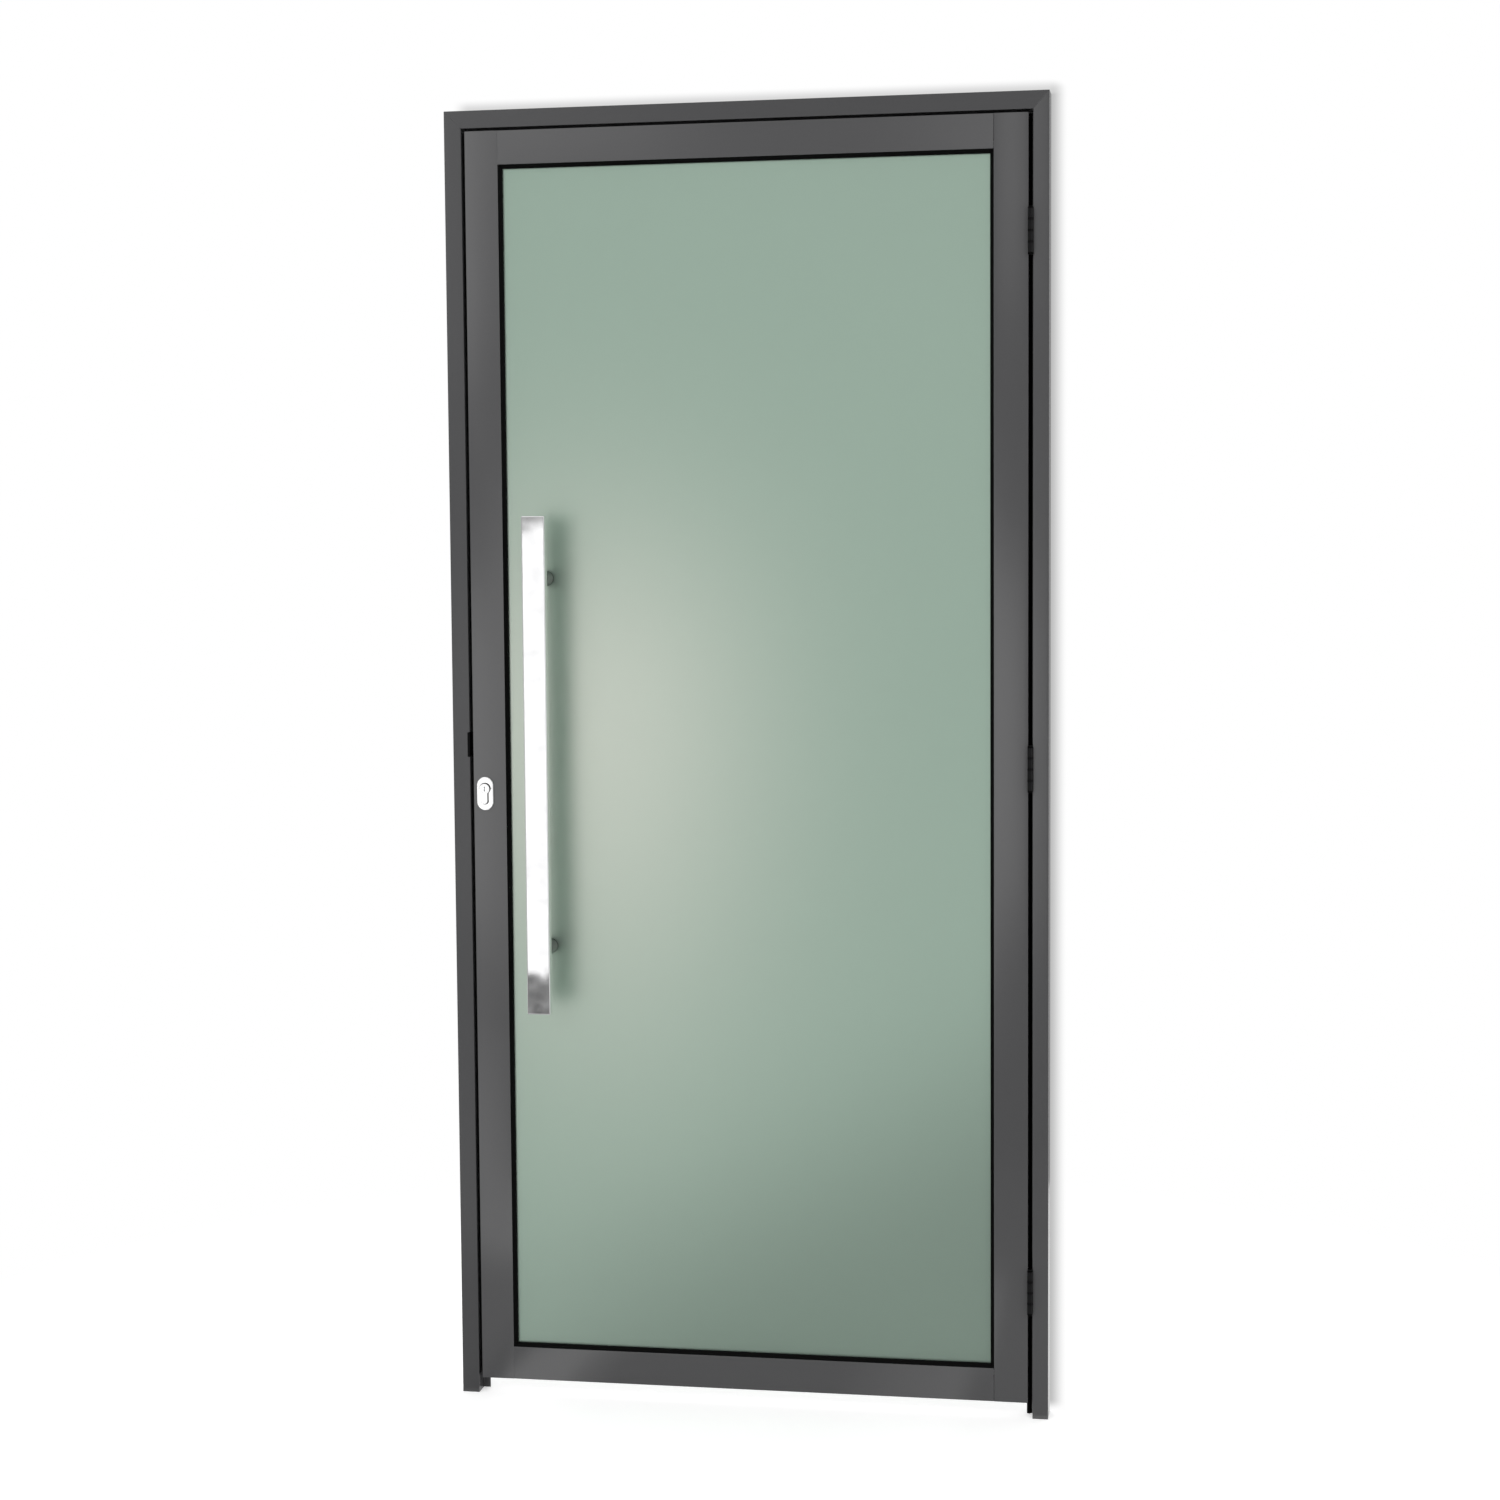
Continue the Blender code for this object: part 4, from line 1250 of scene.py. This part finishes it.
@dataclass(frozen=True)
class Lamp:
    """A soft square lamp that looks at a point."""

    name: str
    place: Triple
    target: Triple
    size: float
    power: float

    def build(self) -> None:
        """Add the lamp, unseen by the camera and by shiny surfaces."""
        data = bpy.data.lights.new(self.name, "AREA")
        data.size = self.size
        data.energy = self.power
        lamp = added(self.name, data)
        lamp.location = self.place
        lamp.rotation_euler = (Vector(self.target) - Vector(self.place)).to_track_quat("-Z", "Y").to_euler()
        for ray in ("camera", "glossy", "transmission"):
            setattr(lamp, f"visible_{ray}", False)


def standing(left: float, right: float, foot: float, top: float, depth: float) -> list[Triple]:
    """Return the corners of an upright rectangle at one Y."""
    return [(left, depth, foot), (right, depth, foot), (right, depth, top), (left, depth, top)]


@dataclass(frozen=True)
class Card:
    """A stage card that lights and shades nothing, seen by one kind of ray alone."""

    name: str
    seen_by: ClassVar[str] = "glossy"
    faces: ClassVar[tuple[tuple[int, ...], ...]] = ((0, 1, 2, 3),)

    def corners(self) -> Iterable[Triple]:
        """Return the corners of the card's faces."""
        raise NotImplementedError

    def shine(self, sheet: NodeSheet) -> Socket:
        """Build the nodes of what the card shows and return their shader."""
        raise NotImplementedError

    def build(self) -> None:
        """Add the card to the stage."""
        mesh = bpy.data.meshes.new(self.name)
        mesh.from_pydata(list(self.corners()), [], self.faces)
        card = added(self.name, mesh)
        for ray in RAYS:
            setattr(card, f"visible_{ray}", ray == self.seen_by)
        made = bpy.data.materials.new(self.name)
        made.use_nodes = True
        made.node_tree.nodes.clear()
        sheet = NodeSheet(made.node_tree)
        sheet.add("ShaderNodeOutputMaterial", {"Surface": self.shine(sheet)})
        mesh.materials.append(made)


@dataclass(frozen=True)
class Opening:
    """A bright opening in what the door's front mirrors, in metres on the card that shows it."""

    left: float
    right: float
    foot: float
    top: float
    strength: float
    soft: float = 0.10
    slant: float = 0.0

    def light(self, sheet: NodeSheet, spot: Any, ragged_up: Socket) -> Socket:
        """Build the opening's light.

        Args:
            sheet: the card's tree.
            spot: the coordinates on the card.
            ragged_up: Z with a ragged shift, for the opening's foot.

        Returns:
            Its brightness at each place on the card.
        """
        sides = sheet.times(sheet.step(spot["X"], self.left, self.soft),
                            sheet.minus(1.0, sheet.step(spot["X"], self.right, self.soft)))
        leaning = sheet.line(sheet.plus(spot["X"], -self.left), -self.slant, ragged_up)
        ends = sheet.times(sheet.step(leaning, self.foot, self.soft),
                           sheet.minus(1.0, sheet.step(spot["Z"], self.top, self.soft)))
        return sheet.times(sheet.times(sides, ends), self.strength)


@dataclass(frozen=True)
class Reflector(Card):
    """A card that mirrored rays alone see: dark, with bright openings and some shades."""

    depth: float
    openings: tuple[Opening, ...]
    falloff: tuple[Flat, ...]
    reach: Triple = (-6.0, 4.0, 4.5)
    base: float = 0.22
    mottle: float = 0.30
    mottle_scale: float = 5.0
    ragged: float = 0.16
    streak: float = 0.80
    streak_scale: float = 30.0
    streak_length: Triple = (0.35, 1.0, 1.0)
    streak_ragged: float = 0.05

    def corners(self) -> Iterable[Triple]:
        """Return the corners of the upright card."""
        left, right, height = self.reach
        return standing(left, right, -height, height, self.depth)

    def shine(self, sheet: NodeSheet) -> Socket:
        """Build the card's glow: mottled and streaked darkness, and then each opening on it.

        Args:
            sheet: the card's tree.

        Returns:
            The emission shader.
        """
        spot = sheet.spot()
        drawn = sheet.vectors("MULTIPLY", sheet.place(), self.streak_length)
        cloud = sheet.swing(self.mottle_scale, detail=4.0)
        streak = sheet.swing(self.streak_scale, detail=4.0, vector=drawn)
        ragged_up = sheet.line(streak, self.streak_ragged, sheet.line(cloud, self.ragged, spot["Z"]))
        total = sheet.line(streak, self.streak, sheet.line(cloud, self.mottle, self.base))
        fall = sheet.ramp(spot["X"], self.falloff)
        for opening in self.openings:
            total = sheet.line(opening.light(sheet, spot, ragged_up), fall, total)
        return sheet.glow(sheet.maths("MAXIMUM", total, 0.0))


FRONT_REFLECTOR = Reflector(
    "front_reflector", -6.0,
    openings=(
        *(Opening(-2.45, -0.90, foot, top, strength, soft=0.03) for foot, top, strength in (
            (-1.294, 0.425, 1.00), (0.425, 0.455, 0.68), (0.455, 0.48, 0.30))),
        Opening(-3.30, -2.45, -1.25, 0.215, 1.00, soft=0.04),
        Opening(-0.90, -0.16, -1.06, 0.29, 1.00, soft=0.04),
        Opening(-4.0, -0.20, 0.933, 4.0, 0.75, slant=0.105),
        *(Opening(left, -1.90, 1.02, 1.84, -0.13, soft=0.16) for left in (-2.80, -2.58, -2.38)),
        Opening(-1.82, -0.78, 1.20, 4.0, -0.68, soft=0.30),
        Opening(-4.0, -2.1, -2.50, -1.60, 0.64, soft=0.20),
    ),
    falloff=((-3.2, 1.55), (-2.6, 1.05), (-2.1, 0.88), (-1.2, 0.90), (-0.9, 1.25), (0.0, 0.85)),
)
BACK_REFLECTOR = Reflector(
    "back_reflector", 5.5,
    openings=(
        Opening(-5.6, -3.4, -3.0, 3.2, 0.70, soft=0.50),
        Opening(-2.8, -0.3, -1.4, 1.9, 0.85, soft=0.40),
        Opening(1.6, 3.6, -3.0, 3.2, 0.70, soft=0.50),
    ),
    falloff=((-3.0, 1.0), (0.0, 0.8)),
    base=0.42,
    mottle=0.10,
    streak=0.0,
    streak_ragged=0.0,
)


@dataclass(frozen=True)
class Flag(Card):
    """A flat card, seen by mirrored rays only, whose glow changes along X."""

    points: tuple[Triple, ...]
    strengths: tuple[Flat, ...]

    def corners(self) -> Iterable[Triple]:
        """Return the flag's own corners."""
        return self.points

    def shine(self, sheet: NodeSheet) -> Socket:
        """Return a glow that follows the flag's strengths."""
        return sheet.glow(sheet.ramp(sheet.spot()["X"], self.strengths))


FLAG_RISE = 0.003


def floor_corners(left: float, right: float, near: float, far: float) -> tuple[Triple, ...]:
    """Return the corners of a level flag just above the floor; near and far are its Y ends."""
    up = CAD_BOX[0].z + FLAG_RISE
    return ((left, near, up), (right, near, up), (right, far, up), (left, far, up))


FLAGS = (
    Flag("side_flag", ((-6.0, -6.0, -4.5), (-6.0, -1.0, -4.5), (-6.0, -1.0, 4.5), (-6.0, -6.0, 4.5)),
         ((-7.0, 0.32), (-5.0, 0.32))),
    Flag("near_floor_flag", floor_corners(-2.2, 1.2, -0.86, -0.03), (
        (-2.2, 0.36), (-1.00, 0.46), (-0.97, 0.38), (-0.945, 0.28), (-0.93, 0.40), (-0.905, 1.10),
        (-0.89, 1.20), (-0.825, 1.20), (-0.79, 0.74), (-0.735, 0.41), (-0.36, 0.42), (-0.25, 0.75),
        (-0.16, 0.92), (-0.125, 0.44), (0.0, 0.45), (1.2, 0.45))),
    Flag("far_floor_flag", floor_corners(-0.7, 1.2, -1.75, -0.86), ((-0.7, 0.34), (1.2, 0.34))),
)


@dataclass(frozen=True)
class BackGlow(Card):
    """What rays through the etched glass find behind it: a soft glow, darker towards the lower right."""

    seen_by: ClassVar[str] = "transmission"
    faces: ClassVar[tuple[tuple[int, ...], ...]] = ((0, 1, 3, 2), (2, 3, 5, 4))
    depth: float = 0.45
    left: float = -1.40
    right: float = 0.40
    foot: float = -1.045
    top: float = 1.40
    near: float = 0.03
    base: float = 1.025
    glow_place: Flat = (-0.86, 0.06)
    glow_width: float = 0.30
    glow_above: float = 0.36
    glow_below: float = 0.58
    glow: Colour = (1.50, 0.90, 1.04)
    dusk: float = 0.57
    dusk_foot: float = -1.27
    dusk_slant: float = 0.52
    dusk_soft: float = 0.50

    def corners(self) -> Iterable[Triple]:
        """Return the corners of a strip of floor and of the wall behind it."""
        profile = ((self.near, self.foot), (self.depth, self.foot), (self.depth, self.top))
        return [(x, y, z) for y, z in profile for x in (self.left, self.right)]

    def shine(self, sheet: NodeSheet) -> Socket:
        """Build the plain light, dimmer below a slanting edge, and the bell-shaped warm glow on it.

        Args:
            sheet: the card's tree.

        Returns:
            The sum of both emission shaders.
        """
        spot = sheet.spot()
        across = sheet.share(sheet.minus(spot["X"], self.glow_place[0]), self.glow_width)
        rise = sheet.minus(spot["Z"], self.glow_place[1])
        up = sheet.plus(sheet.share(sheet.maths("MAXIMUM", rise, 0.0), self.glow_above),
                        sheet.share(sheet.maths("MINIMUM", rise, 0.0), self.glow_below))
        square = sheet.plus(sheet.times(across, across), sheet.times(up, up))
        bell = sheet.maths("POWER", math.e, sheet.times(square, -1.0))
        leaning = sheet.line(sheet.minus(spot["X"], self.left), -self.dusk_slant, spot["Z"])
        lit = sheet.step(leaning, self.dusk_foot, self.dusk_soft)
        level = sheet.line(lit, self.dusk, self.base - self.dusk)
        return sheet.first("ShaderNodeAddShader", {0: sheet.glow(level), 1: sheet.glow(bell, self.glow)})


@dataclass(frozen=True)
class SoftShadow(Card):
    """The soft shadow on the white wall behind the door, above its head and beyond its right jamb."""

    seen_by: ClassVar[str] = "camera"
    depth: float = 0.0228
    side_width: float = 0.030
    side_tone: float = 0.49
    side_hidden: float = 0.003
    head_width: float = 0.018
    head_tone: float = 0.70
    head_hidden: float = 0.0076
    left_fade: float = 0.030
    foot_fade: float = 0.020
    least: float = 0.001
    clear_outside: float = 0.999

    def corners(self) -> Iterable[Triple]:
        """Return the corners of a card a little larger than the door."""
        low, high = CAD_BOX
        return standing(low.x, high.x + self.side_width, low.z, high.z + self.head_hidden + self.head_width,
                        self.depth)

    def shine(self, sheet: NodeSheet) -> Socket:
        """Build the shadow, which shows from the front only and is clear where there is none.

        Args:
            sheet: the card's tree.

        Returns:
            The mix of a grey emission with a transparent shader.
        """
        low, high = CAD_BOX
        spot = sheet.spot()
        past_side, past_head, over = (
            sheet.maths("MAXIMUM", sheet.minus(spot[axis], edge), 0.0) for axis, edge in (
                ("X", high.x - self.side_hidden), ("Z", high.z + self.head_hidden), ("Z", high.z)))
        away_side = sheet.share(past_side, self.side_width)
        away_head = sheet.share(past_head, self.head_width)
        over_head = sheet.share(over, self.head_width)
        square = sheet.plus(sheet.times(away_side, away_side), sheet.times(away_head, away_head))
        away = sheet.maths("SQRT", square)
        turn = sheet.share(over_head, sheet.plus(sheet.plus(away_side, over_head), self.least))
        start = sheet.line(turn, self.head_tone - self.side_tone, self.side_tone)
        fade = sheet.first("ShaderNodeMapRange", {"Value": away, "To Min": start, "To Max": 1.0},
                           interpolation_type="SMOOTHSTEP")
        ends = sheet.times(sheet.step(spot["X"], low.x + self.left_fade / 2, self.left_fade),
                           sheet.step(spot["Z"], low.z + self.foot_fade / 2, self.foot_fade))
        shade = sheet.times(sheet.minus(1.0, fade), ends)
        behind = sheet.add("ShaderNodeNewGeometry").outputs["Backfacing"]
        hidden = sheet.maths("MAXIMUM", behind, sheet.maths("GREATER_THAN", away, self.clear_outside))
        inside = sheet.times(sheet.maths("LESS_THAN", spot["X"], high.x - self.side_hidden),
                             sheet.maths("LESS_THAN", spot["Z"], high.z))
        return sheet.first("ShaderNodeMixShader", {
            0: sheet.maths("MAXIMUM", hidden, inside), 1: sheet.glow(sheet.minus(1.0, shade)),
            2: sheet.first("ShaderNodeBsdfTransparent")})


@dataclass(frozen=True)
class Studio:
    """White surroundings, a pale floor that takes a soft shadow, the lamps and the cards."""

    fill: float = 0.75
    floor_radius: float = 1.7
    floor_sides: int = 96
    floor_colour: Colour = (0.80, 0.80, 0.80)
    floor_roughness: float = 0.9
    floor_lift: float = 0.45
    rim_start: float = 0.6
    rim_end: float = 0.98
    lamps: tuple[Lamp, ...] = (
        Lamp("key_lamp", (-1.75, -3.6, 0.9), (-0.5, 0.0, 0.0), 1.8, 38.0),
        Lamp("fill_lamp", (2.4, -3.0, 1.4), (-0.5, 0.0, 0.0), 1.6, 22.0),
        Lamp("back_lamp", (-1.2, 3.2, 2.4), (-0.5, 0.0, 0.0), 1.8, 40.0),
    )

    def build(self) -> None:
        """Build the surroundings."""
        self.surroundings()
        self.floor()
        for item in (*self.lamps, FRONT_REFLECTOR, BACK_REFLECTOR, *FLAGS, BackGlow("back_glow"),
                     SoftShadow("soft_shadow")):
            item.build()

    def seen_directly(self, sheet: NodeSheet) -> Socket:
        """Tell the rays that see a surface from those that only light it.

        Args:
            sheet: the tree that asks.

        Returns:
            1 for the camera's rays and for those mirrored or let through, and 0 for the rest.
        """
        path = sheet.add("ShaderNodeLightPath").outputs
        mirrored = sheet.maths("MAXIMUM", path["Is Glossy Ray"], path["Is Transmission Ray"])
        return sheet.maths("MAXIMUM", path["Is Camera Ray"], mirrored)

    def surroundings(self) -> None:
        """Make the world white where it is seen and softer where it lights."""
        world = bpy.data.worlds.new("studio")
        world.use_nodes = True
        bpy.context.scene.world = world
        sheet = NodeSheet(world.node_tree)
        background = world.node_tree.nodes["Background"]
        background.inputs["Color"].default_value = WHITE
        strength = sheet.first("ShaderNodeMapRange", {
            "Value": self.seen_directly(sheet), "To Min": self.fill, "To Max": 1.0})
        sheet.feed(background.inputs["Strength"], strength)

    def floor(self) -> None:
        """Lay the round floor under the door."""
        centre = (CAD_BOX[0] + CAD_BOX[1]) / 2
        disc = bmesh.new()
        bmesh.ops.create_circle(disc, cap_ends=True, radius=self.floor_radius, segments=self.floor_sides)
        into(disc, Matrix.Translation((centre.x, centre.y, CAD_BOX[0].z)))
        mesh = bpy.data.meshes.new("pale_floor")
        disc.to_mesh(mesh)
        disc.free()
        ground = added("pale_floor", mesh)
        mesh.materials.append(self.floor_material(centre))

    def floor_material(self, centre: Vector) -> bpy.types.Material:
        """Make the floor's material, which fades to plain white at the floor's rim.

        Args:
            centre: the middle of the floor.

        Returns:
            The material.
        """
        made = bpy.data.materials.new("floor_pale")
        made.use_nodes = True
        sheet = NodeSheet(made.node_tree)
        shader = made.node_tree.nodes["Principled BSDF"]
        seen = self.seen_directly(sheet)
        lift = sheet.times(seen, self.floor_lift)
        for label, value in (("Base Color", (*self.floor_colour, 1.0)), ("Roughness", self.floor_roughness),
                             ("Emission Color", WHITE), ("Emission Strength", lift)):
            sheet.feed(shader.inputs[label], value)
        flat = sheet.vectors("SUBTRACT", sheet.place(), tuple(centre))
        away = sheet.vectors("LENGTH", sheet.vectors("MULTIPLY", flat, (1.0, 1.0, 0.0)))
        rim = sheet.first("ShaderNodeMapRange", {
            "Value": away, "From Min": self.floor_radius * self.rim_start,
            "From Max": self.floor_radius * self.rim_end}, interpolation_type="SMOOTHSTEP")
        mixed = sheet.first("ShaderNodeMixShader", {
            0: sheet.times(rim, seen), 1: shader.outputs[0], 2: sheet.glow(1.0)})
        sheet.feed(made.node_tree.nodes["Material Output"].inputs["Surface"], mixed)
        return made


def main() -> None:
    """Build the door's sub-assemblies and the studio round them."""
    logging.basicConfig(level=logging.INFO, format="%(name)s: %(message)s")
    bpy.context.scene.view_settings.view_transform = "Standard"
    for assembly in (OuterFrame(), Leaf(), Pane(), HingeSet(), LockSet(), PullPair()):
        for placed in assembly.build():
            LOG.info("%s: %s rides on %s in %s", type(assembly).__name__, placed.piece.name,
                     placed.body.value, placed.finish.name)
    Viewpoint().build()
    Studio().build()


if __name__ == "__main__":
    main()
